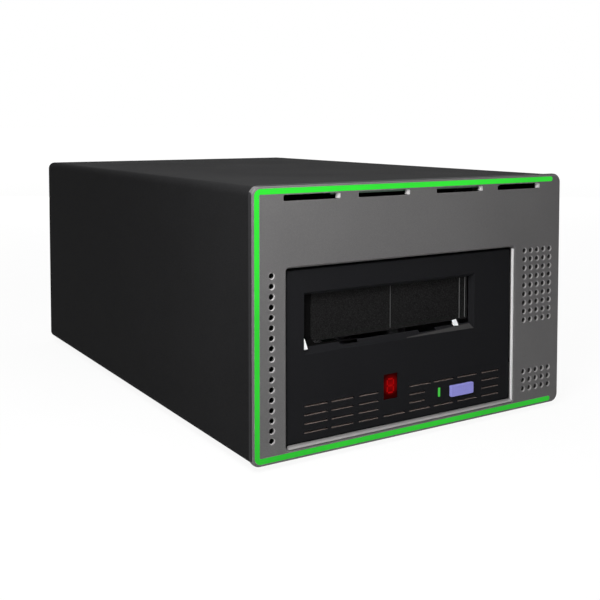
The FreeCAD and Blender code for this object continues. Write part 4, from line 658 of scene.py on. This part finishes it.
# %% [markdown]
# ## Countersunk holes
#
# The holes of the panel are punched and then lightly countersunk. The sloped rim is what
# catches the light and makes each hole read as a small dish. A full cut of nearly eighty
# countersinks would weigh the panel down, so the tree sets a thin ring with a sloped inner
# face into each hole instead: a circle swept with a wedge for its profile. The same tree
# first narrows each hole by a flush sleeve in the panel's own finish.

# %% Ring tree
RING_BACK = 0.1


def facing_copies(tree, given, shape):
    """A copy of the shape at each point of the base mesh, its Z turned to the point's way."""
    way = add(tree, "GeometryNodeInputNamedAttribute", data_type="FLOAT_VECTOR")
    way.inputs["Name"].default_value = "facing"
    turn = add(tree, "FunctionNodeAlignRotationToVector", axis="Z")
    tree.links.new(way.outputs["Attribute"], turn.inputs["Vector"])
    copies = add(tree, "GeometryNodeInstanceOnPoints")
    feed(tree, copies, Points=given.outputs["Base"], Instance=shape, Rotation=turn.outputs[0])
    return copies.outputs[0]


def ring_tree():
    """A ring at each point, turned to face its way: outer radius, wall, depth and lip."""
    tree, given = new_shape("facing_rings", {"Radius": 1.44 * MM, "Wall": 0.5 * MM,
                                             "Depth": 0.9 * MM, "Lip": 0.02 * MM})
    size = given.outputs
    path = add(tree, "GeometryNodeCurvePrimitiveCircle")
    feed(tree, path, Resolution=16, Radius=size["Radius"])
    inward = math_node(tree, "MULTIPLY", size["Wall"], -1.0)
    back_edge = math_node(tree, "ADD", size["Depth"], RING_BACK * MM)
    section = four_cornered(
        tree, vector(tree, 0.0, size["Lip"]), vector(tree, inward, size["Depth"]),
        vector(tree, inward, back_edge), vector(tree, 0.0, back_edge))
    ring = swept(tree, path.outputs[0], section, caps=False)
    return end_shape(tree, given, facing_copies(tree, given, ring))


rings = ring_tree()
print("tree", rings.name)

# %% Where the holes are
TO_FRONT, TO_REAR, DOWN = (0, -1, 0), (0, 1, 0), (0, 0, -1)
HOLE_TOP, LOW_GRID_TOP = PANEL_LOW[Z] + 91.6, PANEL_LOW[Z] + 21.6
HOLE_STEP, HOLE_PITCH = 4.998, 5.0
LEFT_COLUMN_AT, GRID_AT = -92.4, 74.7
hole_spots = [(first + HOLE_STEP * i, PANEL_FACE, top - HOLE_PITCH * j)
              for first, columns, top, rows in ((LEFT_COLUMN_AT, 1, HOLE_TOP, 17),
                                                (GRID_AT, 5, HOLE_TOP, 9),
                                                (GRID_AT, 5, LOW_GRID_TOP, 3))
              for i in range(columns) for j in range(rows)]
print(len(hole_spots), "holes")

# %% Sleeves and rims of the panel's holes
hole_ways = [TO_FRONT] * len(hole_spots)
grow("hole_sleeves", rings, "panel_plain", hole_spots, facing=hole_ways, Radius=2.0,
     Wall=0.3, Depth=0.0, Lip=0.0)
grow("hole_rims", rings, "drilled_edge", hole_spots, facing=hole_ways, Radius=1.71,
     Wall=0.38, Depth=0.8, Lip=0.02)

# %% [markdown]
# ## Bars along lines
#
# A louvre slit has a lip inside its lower edge, which hides the works; its pale brown colour is
# a painted highlight, where light from above would catch it. The door's painted highlight lines,
# milled edges and the strokes of a seven-stroke digit are bars as well. One tree makes them all:
# each edge of a bare mesh becomes a bar with a four-cornered section.

# %% Bar tree


def bar_tree():
    """A bar along each line. Fore and back reach across it; rise and fall set its height."""
    tree, given = new_shape("bars_on_lines", {
        "Fore": 0.2 * MM, "Back": 1.6 * MM, "Front Rise": 0.0, "Back Rise": 0.4 * MM,
        "Fall": 0.05 * MM})
    size = given.outputs
    path = feed(tree, add(tree, "GeometryNodeMeshToCurve"), Mesh=given.outputs["Base"])
    behind, front_up, back_up = (math_node(tree, "MULTIPLY", size[label], -1.0)
                                 for label in ("Back", "Front Rise", "Back Rise"))
    section = four_cornered(
        tree, vector(tree, size["Fore"], size["Fall"]), vector(tree, size["Fore"], front_up),
        vector(tree, behind, back_up), vector(tree, behind, size["Fall"]))
    return end_shape(tree, given, swept(tree, path.outputs[0], section))


bars = bar_tree()


def lay_bars(name, finish_name, spans, **sizes):
    """Bars along separate straight lines, given as (start, end) pairs."""
    points = [point for span in spans for point in span]
    lines = [(2 * i, 2 * i + 1) for i in range(len(spans))]
    return grow(name, bars, finish_name, points, lines, **sizes)


print("tree", bars.name)

# %% Lips of the louvre slits, coloured as a painted highlight
# Each run is (start, end, rows), counted from the drive's middle and from the lowest row.
DRIVE_MIDDLE = middle_of("drive_bezel")[X]
SLIT_LOW, SLIT_PITCH = BEZEL_LOW[Z] + 4.5, 4.4
LIP_SHORT, LIP_IN = 0.05, 0.1
SLIT_RUNS = [(-64.0, -50.4, (0, 1, 2, 3)), (-48.0, -34.4, (0, 1, 2, 3)),
             (-31.1, -18.6, (0, 1, 2, 3)), (-15.2, -1.2, (0,)), (1.8, 16.3, (0, 3)),
             (1.8, 12.6, (1, 2)), (18.6, 32.4, (0, 3)), (35.3, 49.6, (0, 3)),
             (53.1, 65.9, (0, 1, 2, 3))]
slit_lines = [[(DRIVE_MIDDLE + across, BEZEL_FACE + LIP_IN, SLIT_LOW + SLIT_PITCH * row)
               for across in (start + LIP_SHORT, end - LIP_SHORT)]
              for start, end, rows in SLIT_RUNS for row in rows]
lay_bars("slit_lips", "louvre_edge", slit_lines, Fore=0.0, Back=1.8, Back_Rise=0.5,
         Front_Rise=0.08, Fall=0.03)

# %% [markdown]
# ## Display digit
#
# A seven-stroke digit shines through the red window. The window here is solid, so the strokes
# stand out of its face by less than a tenth of a millimetre. They are seven short glowing
# bars, the same tree as the slits, because a real digit is just that: seven lamps behind
# bar-shaped openings. A plain eight shows every stroke, as in a display's start-up test.

# %% Strokes of the digit
DIGIT_AT, DIGIT_LEVEL, DIGIT_DEPTH = WINDOW_AT + 0.3, WINDOW_LEVEL + 0.1, WINDOW_FACE + 0.35
DIGIT_HALF, DIGIT_RISE, STROKE_GAP, STROKE_HALF = 2.0, 3.6, 0.5, 0.42


def digit_point(across, level):
    """A corner of the digit: across is -1 or 1, level is -1, 0 or 1."""
    return Vector((DIGIT_AT + DIGIT_HALF * across, DIGIT_DEPTH,
                   DIGIT_LEVEL + DIGIT_RISE * level))


level_gap, upright_gap = Vector((STROKE_GAP, 0, 0)), Vector((0, 0, STROKE_GAP))
strokes = [(digit_point(-1, level) + level_gap, digit_point(1, level) - level_gap)
           for level in (-1, 0, 1)]
strokes += [(digit_point(across, low) + upright_gap, digit_point(across, low + 1) - upright_gap)
            for across in (-1, 1) for low in (-1, 0)]
lay_bars("display_digit", "digit_glow", strokes, Fore=STROKE_HALF, Back=STROKE_HALF,
         Front_Rise=STROKE_HALF, Back_Rise=STROKE_HALF, Fall=STROKE_HALF)

# %% [markdown]
# ## Painted highlight lines of the door
#
# Two bright upright lines near the door's right edge and a duller one in its seam are painted
# highlights of its edges. They move with the door, so they ride on its body.

# %% Painted highlight lines near the door's edge and in its seam
DOOR_LOW, DOOR_HIGH = corners_of("cartridge_door")
DOOR_FACE, MOUTH_AT = DOOR_LOW[Y], pivot_of("door_hinge")[X]
HIGHLIGHT_LOW, HIGHLIGHT_LENGTH = DOOR_LOW[Z] + 0.9, 22.2
HIGHLIGHT_INSETS, SEAM_DEPTH = (5.7, 1.7), 0.35


def highlight_line(x, y):
    """An upright line on the door."""
    return (x, y, HIGHLIGHT_LOW), (x, y, HIGHLIGHT_LOW + HIGHLIGHT_LENGTH)


lay_bars("door_inlays", "pale_trim",
         [highlight_line(DOOR_HIGH[X] - inset, DOOR_FACE) for inset in HIGHLIGHT_INSETS], body="door",
         Fore=0.16, Back=0.16, Front_Rise=0.07, Back_Rise=0.07, Fall=0.2)
lay_bars("door_seam_line", "dull_trim", [highlight_line(MOUTH_AT, DOOR_FACE + SEAM_DEPTH)],
         body="door", Fore=0.13, Back=0.13, Front_Rise=0.1, Back_Rise=0.1, Fall=0.2)

# %% [markdown]
# ## Screws
#
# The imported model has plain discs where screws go. A real head is low and domed with a cross
# recess. The tree builds one head from a short cylinder and a cone, cuts two crossed blades
# out of it, and sets a copy at each point, turned to face its way.

# %% Screw tree
HEAD_SIDES = 20
DOME_SHARE, BLADE_SHARE, BLADE_LIFT = 0.62, 1.1, 0.95


def screw_tree():
    """Low heads with a cross recess: a cylinder under a cone, less two crossed blocks."""
    tree, given = new_shape("crossed_heads", {"Radius": 2.8 * MM, "Rise": 1.4 * MM,
                                              "Recess": 0.55 * MM})
    size = given.outputs
    half_rise = math_node(tree, "MULTIPLY", size["Rise"], 0.5)
    base = add(tree, "GeometryNodeMeshCylinder")
    feed(tree, base, Vertices=HEAD_SIDES, Radius=size["Radius"], Depth=half_rise)
    low = raised(tree, base.outputs["Mesh"], math_node(tree, "MULTIPLY", half_rise, 0.5))
    dome = add(tree, "GeometryNodeMeshCone")
    feed(tree, dome, Vertices=HEAD_SIDES, Radius_Bottom=size["Radius"], Depth=half_rise,
         Radius_Top=math_node(tree, "MULTIPLY", size["Radius"], DOME_SHARE))
    high = raised(tree, dome.outputs["Mesh"], half_rise)
    blades = add(tree, "GeometryNodeJoinGeometry")
    blade_length = math_node(tree, "MULTIPLY", size["Radius"], BLADE_SHARE)
    blade_level = math_node(tree, "MULTIPLY", size["Rise"], BLADE_LIFT)
    for length, width in ((blade_length, size["Recess"]), (size["Recess"], blade_length)):
        block = add(tree, "GeometryNodeMeshCube")
        feed(tree, block, Size=vector(tree, length, width, size["Rise"]))
        tree.links.new(raised(tree, block.outputs["Mesh"], blade_level), blades.inputs[0])
    cut = add(tree, "GeometryNodeMeshBoolean", operation="DIFFERENCE", solver="EXACT")
    cut.inputs["Self Intersection"].default_value = True
    whole = add(tree, "GeometryNodeMeshBoolean", operation="UNION", solver="EXACT")
    tree.links.new(low, whole.inputs["Mesh 2"])
    tree.links.new(high, whole.inputs["Mesh 2"])
    tree.links.new(whole.outputs[0], cut.inputs["Mesh 1"])
    tree.links.new(blades.outputs[0], cut.inputs["Mesh 2"])
    return end_shape(tree, given, facing_copies(tree, given, cut.outputs[0]))


screws = screw_tree()
print("tree", screws.name)

# %% Case screws
CASE_BACK = COVER_HIGH[Y]
REAR_ASIDE, REAR_LEVELS = 95.5, (15.0, 127.0)
UNDER_ASIDE, UNDER_DEPTHS = 96.0, (-100.9, 89.1)
rear_spots = [(side * REAR_ASIDE, CASE_BACK, level) for side in (-1, 1) for level in REAR_LEVELS]
under_spots = [(side * UNDER_ASIDE, y, COVER_LOW[Z]) for side in (-1, 1) for y in UNDER_DEPTHS]
case_ways = [TO_REAR] * len(rear_spots) + [DOWN] * len(under_spots)
grow("case_screw_heads", screws, "screw_steel", rear_spots + under_spots, facing=case_ways,
     replaced=["case_screws"], Radius=2.8, Rise=1.4, Recess=0.6)

# %% Fan screws
FAN_AT, _, FAN_LEVEL = pivot_of("fan_spin")
FAN_HOLE_HALF, GUARD_FEET = 35.75, 0.8
fan_spots = [(FAN_AT + i * FAN_HOLE_HALF, CASE_BACK + GUARD_FEET, FAN_LEVEL + j * FAN_HOLE_HALF)
             for i in (-1, 1) for j in (-1, 1)]
grow("fan_screw_heads", screws, "screw_steel", fan_spots, facing=[TO_REAR] * len(fan_spots),
     replaced=["fan_screws"], Radius=2.9, Rise=1.0, Recess=0.6)

# %% [markdown]
# ## Flat cable
#
# A flat cable is a row of thin round wires joined by a web. The tree rounds the two folds of
# its path, sweeps one wire along it, repeats the wire across the width, and sweeps the thin
# web once.

# %% Flat cable tree
WIRE_COUNT, WIRE_SIDES, FOLD_STEPS = 34, 6, 8


def flat_cable_tree():
    """Round wires side by side along a folded path, on a thin web."""
    tree, given = new_shape("flat_cable", {"Width": 43.0 * MM, "Wire": 0.42 * MM,
                                           "Web": 0.12 * MM, "Fold": 9.0 * MM})
    size = given.outputs
    path = feed(tree, add(tree, "GeometryNodeMeshToCurve"), Mesh=given.outputs["Base"])
    rounded = add(tree, "GeometryNodeFilletCurve", mode="POLY")
    feed(tree, rounded, Curve=path.outputs[0], Count=FOLD_STEPS, Radius=size["Fold"])
    section = add(tree, "GeometryNodeCurvePrimitiveCircle")
    feed(tree, section, Resolution=WIRE_SIDES, Radius=size["Wire"])
    wire = swept(tree, rounded.outputs[0], section.outputs[0])
    half = math_node(tree, "MULTIPLY", size["Width"], 0.5)
    first = math_node(tree, "SUBTRACT", size["Wire"], half)
    spots = add(tree, "GeometryNodeMeshLine", mode="END_POINTS")
    last = math_node(tree, "MULTIPLY", first, -1.0)
    feed(tree, spots, Count=WIRE_COUNT, Start_Location=vector(tree, first, 0.0, 0.0),
         Offset=vector(tree, last, 0.0, 0.0))
    copies = add(tree, "GeometryNodeInstanceOnPoints")
    feed(tree, copies, Points=spots.outputs[0], Instance=wire)
    strip = add(tree, "GeometryNodeCurvePrimitiveQuadrilateral", mode="RECTANGLE")
    feed(tree, strip, Width=size["Web"], Height=size["Width"])
    web = swept(tree, rounded.outputs[0], strip.outputs[0])
    both = add(tree, "GeometryNodeJoinGeometry")
    tree.links.new(copies.outputs[0], both.inputs[0])
    tree.links.new(web, both.inputs[0])
    return end_shape(tree, given, both.outputs[0])


# %% Flat cable piece
CABLE_HALF = 0.45
cable_low, cable_high = corners_of("data_ribbon")
CABLE_AT, FOLD_AT, _ = middle_of("data_ribbon")
low_run, high_run = cable_low[Z] + CABLE_HALF, cable_high[Z] - CABLE_HALF
fold_points = [(CABLE_AT, cable_low[Y], low_run), (CABLE_AT, FOLD_AT, low_run),
               (CABLE_AT, FOLD_AT, high_run), (CABLE_AT, cable_high[Y], high_run)]
grow("flat_cable", flat_cable_tree(), "ribbon_grey", fold_points, [(0, 1), (1, 2), (2, 3)],
     replaced=["data_ribbon"], Width=cable_high[X] - cable_low[X], Wire=0.42, Web=0.12,
     Fold=9.0)

# %% [markdown]
# ## Round leads
#
# The leads inside the case are limp and round. Each is a curve that rounds the bends of its
# route, with a round bevel. The curve keeps clear of everything that moves.

# %% Leads
LEAD_STEPS = 16


def lead(name, finish_name, radius, route, replaced):
    """A round lead along its route, in millimetres."""
    curve = bpy.data.curves.new(name, "CURVE")
    curve.dimensions = "3D"
    curve.bevel_depth = radius * MM
    curve.bevel_resolution = 4
    curve.use_fill_caps = True
    curve.resolution_u = LEAD_STEPS
    line = curve.splines.new("NURBS")
    line.points.add(len(route) - 1)
    for point, place in zip(line.points, route):
        point.co = (*at(*place), 1.0)
    line.order_u = 3
    line.use_endpoint_u = True
    line.resolution_u = LEAD_STEPS
    thing = linked(name, curve)
    curve.materials.append(FINISHES[finish_name])
    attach(thing, "root")
    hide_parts(replaced)
    bare = curve.copy()
    bare.bevel_depth = 0.0
    measured = linked(name + "_line", bare)
    drawn = measured.evaluated_get(bpy.context.evaluated_depsgraph_get()).to_mesh()
    bpy.data.objects.remove(measured)


lead("drive_power_lead", "cord_black", 1.6,
     [(36.0, 101.1, 23.1), (36.0, 101.1, 64.5), (36.0, 65.1, 64.5)], "drive_power_cable")
lead("light_lead", "cord_grey", 1.0,
     [(88.0, 79.1, 23.1), (88.0, 79.1, 59.5), (86.0, 44.1, 86.5), (84.0, -5.9, 94.5),
      (85.0, -55.9, 98.5), (82.0, -80.9, 106.5), (70.0, -108.9, 122.5), (52.0, -126.9, 129.0),
      (52.0, -145.9, 129.0)], "light_cable")
lead("mains_live_lead", "sleeve_blue", 1.2,
     [(-63.0, 129.1, 26.5), (-63.0, 109.1, 26.5), (-46.0, 95.1, 44.5), (-22.0, 91.1, 56.5),
      (1.0, 93.1, 48.5), (1.0, 93.1, 23.1)], "mains_leads")
lead("mains_switched_lead", "cord_black", 1.2,
     [(-32.0, 145.1, 28.5), (-32.0, 127.1, 28.5), (-27.0, 111.1, 42.5), (-12.0, 103.1, 54.5),
      (7.0, 105.1, 46.5), (7.0, 105.1, 23.1)], "mains_leads")

# %% [markdown]
# ## Rocker marks
#
# The rocker carries the usual bar and ring for on and off. They are thin raised marks on its
# two sloping faces, so they tilt with it. The bar comes from the tree of bars and the ring
# from the tree of rings.

# %% Bar and ring of the rocker
ROCKER_AT, ROCKER_DEPTH, ROCKER_LEVEL = pivot_of("rocker_tilt")
ROCKER_TILT = math.radians(8.0)
FACE_OUT, FACE_SLOPE = 2.5, 1.05 / 7.5
BAR_FROM, BAR_TO, RING_LOW, RING_LIFT = 2.4, 5.2, 3.8, 0.03


def on_rocker(rise, lift=0.0):
    """A point at this height on the face of the level rocker, tilted as it rests."""
    cosine, sine = math.cos(ROCKER_TILT), math.sin(ROCKER_TILT)
    out = FACE_OUT + lift + FACE_SLOPE * abs(rise)
    return (ROCKER_AT, ROCKER_DEPTH + out * cosine - rise * sine,
            ROCKER_LEVEL + out * sine + rise * cosine)


lay_bars("rocker_bar", "mark_white", [(on_rocker(BAR_FROM), on_rocker(BAR_TO))],
         body="rocker", Fore=0.25, Back=0.25, Front_Rise=0.08, Back_Rise=0.08, Fall=0.08)
lower_way = (0.0, math.cos(2 * ROCKER_TILT), -math.sin(2 * ROCKER_TILT))
grow("rocker_ring", rings, "mark_white", [on_rocker(-RING_LOW, RING_LIFT)],
     facing=[lower_way], body="rocker", Radius=1.5, Wall=0.4, Depth=0.1, Lip=-0.05)

# %% [markdown]
# ## Small blocks at the mouth
#
# A few plain pieces finish the mouth. Two small white plates on the slope of the mouth, at its
# lower corners, are painted glints. Black sheets in the gaps beside the door, below it and at
# its lower left corner are painted shade, and a thin grey plate on the lip below the mouth is a
# painted sheen.
# Each is a plain block, so it is written down by its eight corners, or by the four of its
# outline where its front and back are alike.

# %% Block helpers


def wedge(name, finish_name, low_face, high_face):
    """A closed block between two four-cornered outlines, given in millimetres."""
    mesh = bpy.data.meshes.new(name)
    corners = [at(*point) for point in (*low_face, *high_face)]
    sides = [(i, (i + 1) % 4, 4 + (i + 1) % 4, 4 + i) for i in range(4)]
    mesh.from_pydata(corners, [], [(3, 2, 1, 0), (4, 5, 6, 7), *sides])
    mesh.materials.append(FINISHES[finish_name])
    return settle(linked(name, mesh), "root")


def plate(name, finish_name, outline, front, back):
    """An upright plate: outline is (x, z) of its low left, low right, high right, high left."""
    low_left, low_right, high_right, high_left = outline
    faces = [[(left[0], front, left[1]), (right[0], front, right[1]),
              (right[0], back, right[1]), (left[0], back, left[1])]
             for left, right in ((low_left, low_right), (high_left, high_right))]
    return wedge(name, finish_name, *faces)


# %% Painted glints at the mouth's lower corners
MOUTH_BACK = DOOR_FACE - 0.2
wedge("left_wear_plate", "guide_white",
      [(-73.1, -158.9, 55.8), (-70.9, -158.9, 55.8),
       (-70.9, -156.3, 57.4), (-71.7, -156.3, 57.4)],
      [(-73.15, -158.9, 61.0), (-72.7, -158.9, 61.0),
       (-71.6, -156.4, 60.8), (-72.0, -156.4, 60.8)])
wedge("right_wear_plate", "guide_white",
      [(24.7, -157.4, 55.9), (28.1, -157.4, 55.9),
       (28.1, MOUTH_BACK, 57.1), (24.7, MOUTH_BACK, 57.1)],
      [(24.9, -157.2, 56.7), (28.0, -157.2, 56.7),
       (27.5, MOUTH_BACK, 59.2), (24.5, MOUTH_BACK, 58.8)])

# %% Painted shade in the gaps beside and below the door
MOUTH_HALF, MOUTH_RISE, MOUTH_HEIGHT = 54.0, 53.9, 26.0
MOUTH_LOW, SHADE_SHORT, SHADE_THIN = PANEL_LOW[Z] + MOUTH_RISE, 0.2, 0.15
shade_left, shade_right = MOUTH_AT - MOUTH_HALF + 0.1, DOOR_LOW[X] - 0.4
side_low, side_high = MOUTH_LOW + SHADE_SHORT, MOUTH_LOW + MOUTH_HEIGHT - SHADE_SHORT
plate("door_side_seal", "seal_black",
      [(shade_left, side_low), (shade_right, side_low), (shade_right, side_high),
       (shade_left, side_high)], -155.6, -153.0)
LOW_SHADE_END, LOW_SHADE_TOP, CORNER_SHADE_TOP = -38.0, 57.7, 60.2
plate("door_low_seal", "seal_black",
      [(shade_left, MOUTH_LOW), (LOW_SHADE_END, MOUTH_LOW), (LOW_SHADE_END, MOUTH_LOW + 0.4),
       (shade_left, LOW_SHADE_TOP)], MOUTH_BACK, MOUTH_BACK + SHADE_THIN)
plate("door_corner_seal", "seal_black",
      [(shade_left, LOW_SHADE_TOP), (-65.2, 57.5), (-67.2, CORNER_SHADE_TOP),
       (shade_left, CORNER_SHADE_TOP)], MOUTH_BACK, MOUTH_BACK + SHADE_THIN)

# %% Painted sheen on the lip below the mouth
GLEAM_LIFT = 0.04
gleam = [(-9.0, -158.9, 53.70), (37.8, -159.0, 53.61), (36.6, -156.6, 55.93),
         (-9.0, -158.6, 54.0)]
wedge("mouth_low_gleam", "moulded_gleam", gleam,
      [(x, y - GLEAM_LIFT, z + GLEAM_LIFT) for x, y, z in gleam])

# %% [markdown]
# ## Cut edges of the panel
#
# The opening of the panel has a milled slope at its bottom and right edges, which shows
# brighter metal than the coat, and so do the right ends of the vents. The right edge and the
# vent ends are brighter still, a painted glint. These edges are thin bars again. They stop
# short of the opening's rounded corners.

# %% Milled edges of the opening
GAP_ASIDE, GAP_LEVEL, BEZEL_CLEAR = 1.1, 1.3, 0.05
ROUND_SHORT, MEET_SHORT = 1.2, 0.4
OPENING_LEFT, OPENING_RIGHT = BEZEL_LOW[X] - GAP_ASIDE, BEZEL_HIGH[X] + GAP_ASIDE
OPENING_LOW, OPENING_HIGH = BEZEL_LOW[Z] - GAP_LEVEL, BEZEL_HIGH[Z] + GAP_LEVEL
edge_depth = BEZEL_FACE - BEZEL_CLEAR
lay_bars("opening_sill", "milled_edge",
         [((OPENING_LEFT + ROUND_SHORT, edge_depth, OPENING_LOW),
           (OPENING_RIGHT - MEET_SHORT, edge_depth, OPENING_LOW))],
         Fore=1.7, Back=0.0, Front_Rise=0.06, Back_Rise=1.5, Fall=0.03)
# Cut metal, brightened as a painted glint.
lay_bars("opening_right_edge", "bright_edge",
         [((OPENING_RIGHT, edge_depth, OPENING_LOW + MEET_SHORT),
           (OPENING_RIGHT, edge_depth, OPENING_HIGH - ROUND_SHORT))],
         Fore=0.03, Back=0.45, Front_Rise=1.7, Back_Rise=0.06, Fall=0.0)

# %% Right ends of the vents
VENTS_AT = (-69.5, -25.5, 25.5, 69.5)
VENT_LEVEL, VENT_HALF, VENT_RISE, VENT_IN = PANEL_HIGH[Z] - 6.4, 16.5, 1.35, 0.05
# Cut metal, brightened as a painted glint.
lay_bars("vent_ends", "bright_edge",
         [[(x + VENT_HALF, PANEL_FACE + VENT_IN, VENT_LEVEL + rise)
           for rise in (-VENT_RISE, VENT_RISE)] for x in VENTS_AT],
         Fore=0.05, Back=1.2, Front_Rise=0.0, Back_Rise=-2.6, Fall=2.85)

# %% [markdown]
# ## Floor, world and lamps
#
# The floor and the sky are white for the camera and in reflections, while what they shed on
# the object is held to a plain level. The floor still takes a faint shadow. Four soft lamps
# do the rest: a small one near the front left, whose light falls off across the panel and
# along the case, a broad one above, a weak one far to the left and a low one behind, which
# shows the rear panel.

# %% Floor
FLOOR_HALF = 30.0
FLOOR_LIFT = (0.4, 3.0, 1.0, 1.1)  # the lamps fade away from the object; the glow rises
GLOW_SHARE = 0.92


def white_rays(tree):
    """One for rays from the camera, off a glossy surface or through a clear one."""
    rays = add(tree, "ShaderNodeLightPath").outputs
    seen = math_node(tree, "MAXIMUM", rays["Is Camera Ray"], rays["Is Glossy Ray"])
    return math_node(tree, "MAXIMUM", seen, rays["Is Transmission Ray"])


def floor_material():
    """A pale matt floor that glows white for the camera and in reflections."""
    material, tree, shader = new_material("studio_floor")
    place = own_place(tree)
    pale = spread(tree, noise_on(tree, place, Scale=40.0, Detail=3.0), 0.3, 0.7, 0.86, 0.9)
    feed(tree, shader, Roughness=0.9, Base_Color=pale)
    off_centre = add(tree, "ShaderNodeVectorMath", "distance out", operation="LENGTH")
    put(tree, off_centre.inputs[0], place)
    lift = spread(tree, off_centre.outputs["Value"], *FLOOR_LIFT)
    white = feed(tree, add(tree, "ShaderNodeEmission"), Strength=lift)
    mix = add(tree, "ShaderNodeMixShader")
    share = math_node(tree, "MULTIPLY", white_rays(tree), GLOW_SHARE)
    for socket, source in zip(mix.inputs, (share, shader.outputs[0], white.outputs[0])):
        put(tree, socket, source)
    feed(tree, tree.nodes["Material Output"], Surface=mix.outputs[0])
    return material


floor_mesh = bpy.data.meshes.new("studio_floor")
corners = [(x * FLOOR_HALF, y * FLOOR_HALF, 0) for x, y in ((-1, -1), (1, -1), (1, 1), (-1, 1))]
floor_mesh.from_pydata(corners, [], [(0, 1, 2, 3)])
floor_mesh.materials.append(floor_material())
linked("studio_floor", floor_mesh)
print("floor", 2 * FLOOR_HALF, "m wide")

# %% World
SKY_LEVEL = 0.11
world = bpy.data.worlds.new("studio_world")
bpy.context.scene.world = world
world.use_nodes = True
sky = world.node_tree.nodes["Background"]
sky.inputs["Color"].default_value = (1.0, 1.0, 1.0, 1.0)
level = math_node(world.node_tree, "MAXIMUM", white_rays(world.node_tree), SKY_LEVEL)
world.node_tree.links.new(level, sky.inputs["Strength"])
print("sky sheds", SKY_LEVEL)

# %% Lamps


def softbox(name, place, target, width, height, watts, spread_angle=180.0):
    """A rectangular soft lamp at place, turned to face target, in metres and degrees."""
    data = bpy.data.lights.new(name, "AREA")
    data.shape = "RECTANGLE"
    data.size, data.size_y = width, height
    data.energy = watts
    data.spread = math.radians(spread_angle)
    lamp = linked(name, data)
    lamp.location = place
    lamp.rotation_mode = "QUATERNION"
    lamp.rotation_quaternion = (Vector(target) - Vector(place)).to_track_quat("-Z", "Y")
    print(name, watts, "W")


softbox("lamp_near_left", (-0.22, -0.30, 0.31), (-0.08, -0.16, 0.12), 0.16, 0.16, 0.70, 120.0)
softbox("lamp_above", (0.0, 0.12, 1.7), (0.0, 0.0, 0.07), 1.4, 1.4, 18.0)
softbox("lamp_left", (-1.2, -1.3, 0.9), (0.0, 0.0, 0.07), 1.2, 1.2, 2.4)
softbox("lamp_behind", (0.7, 1.3, 0.07), (0.0, 0.15, 0.07), 1.2, 0.1, 9.0)
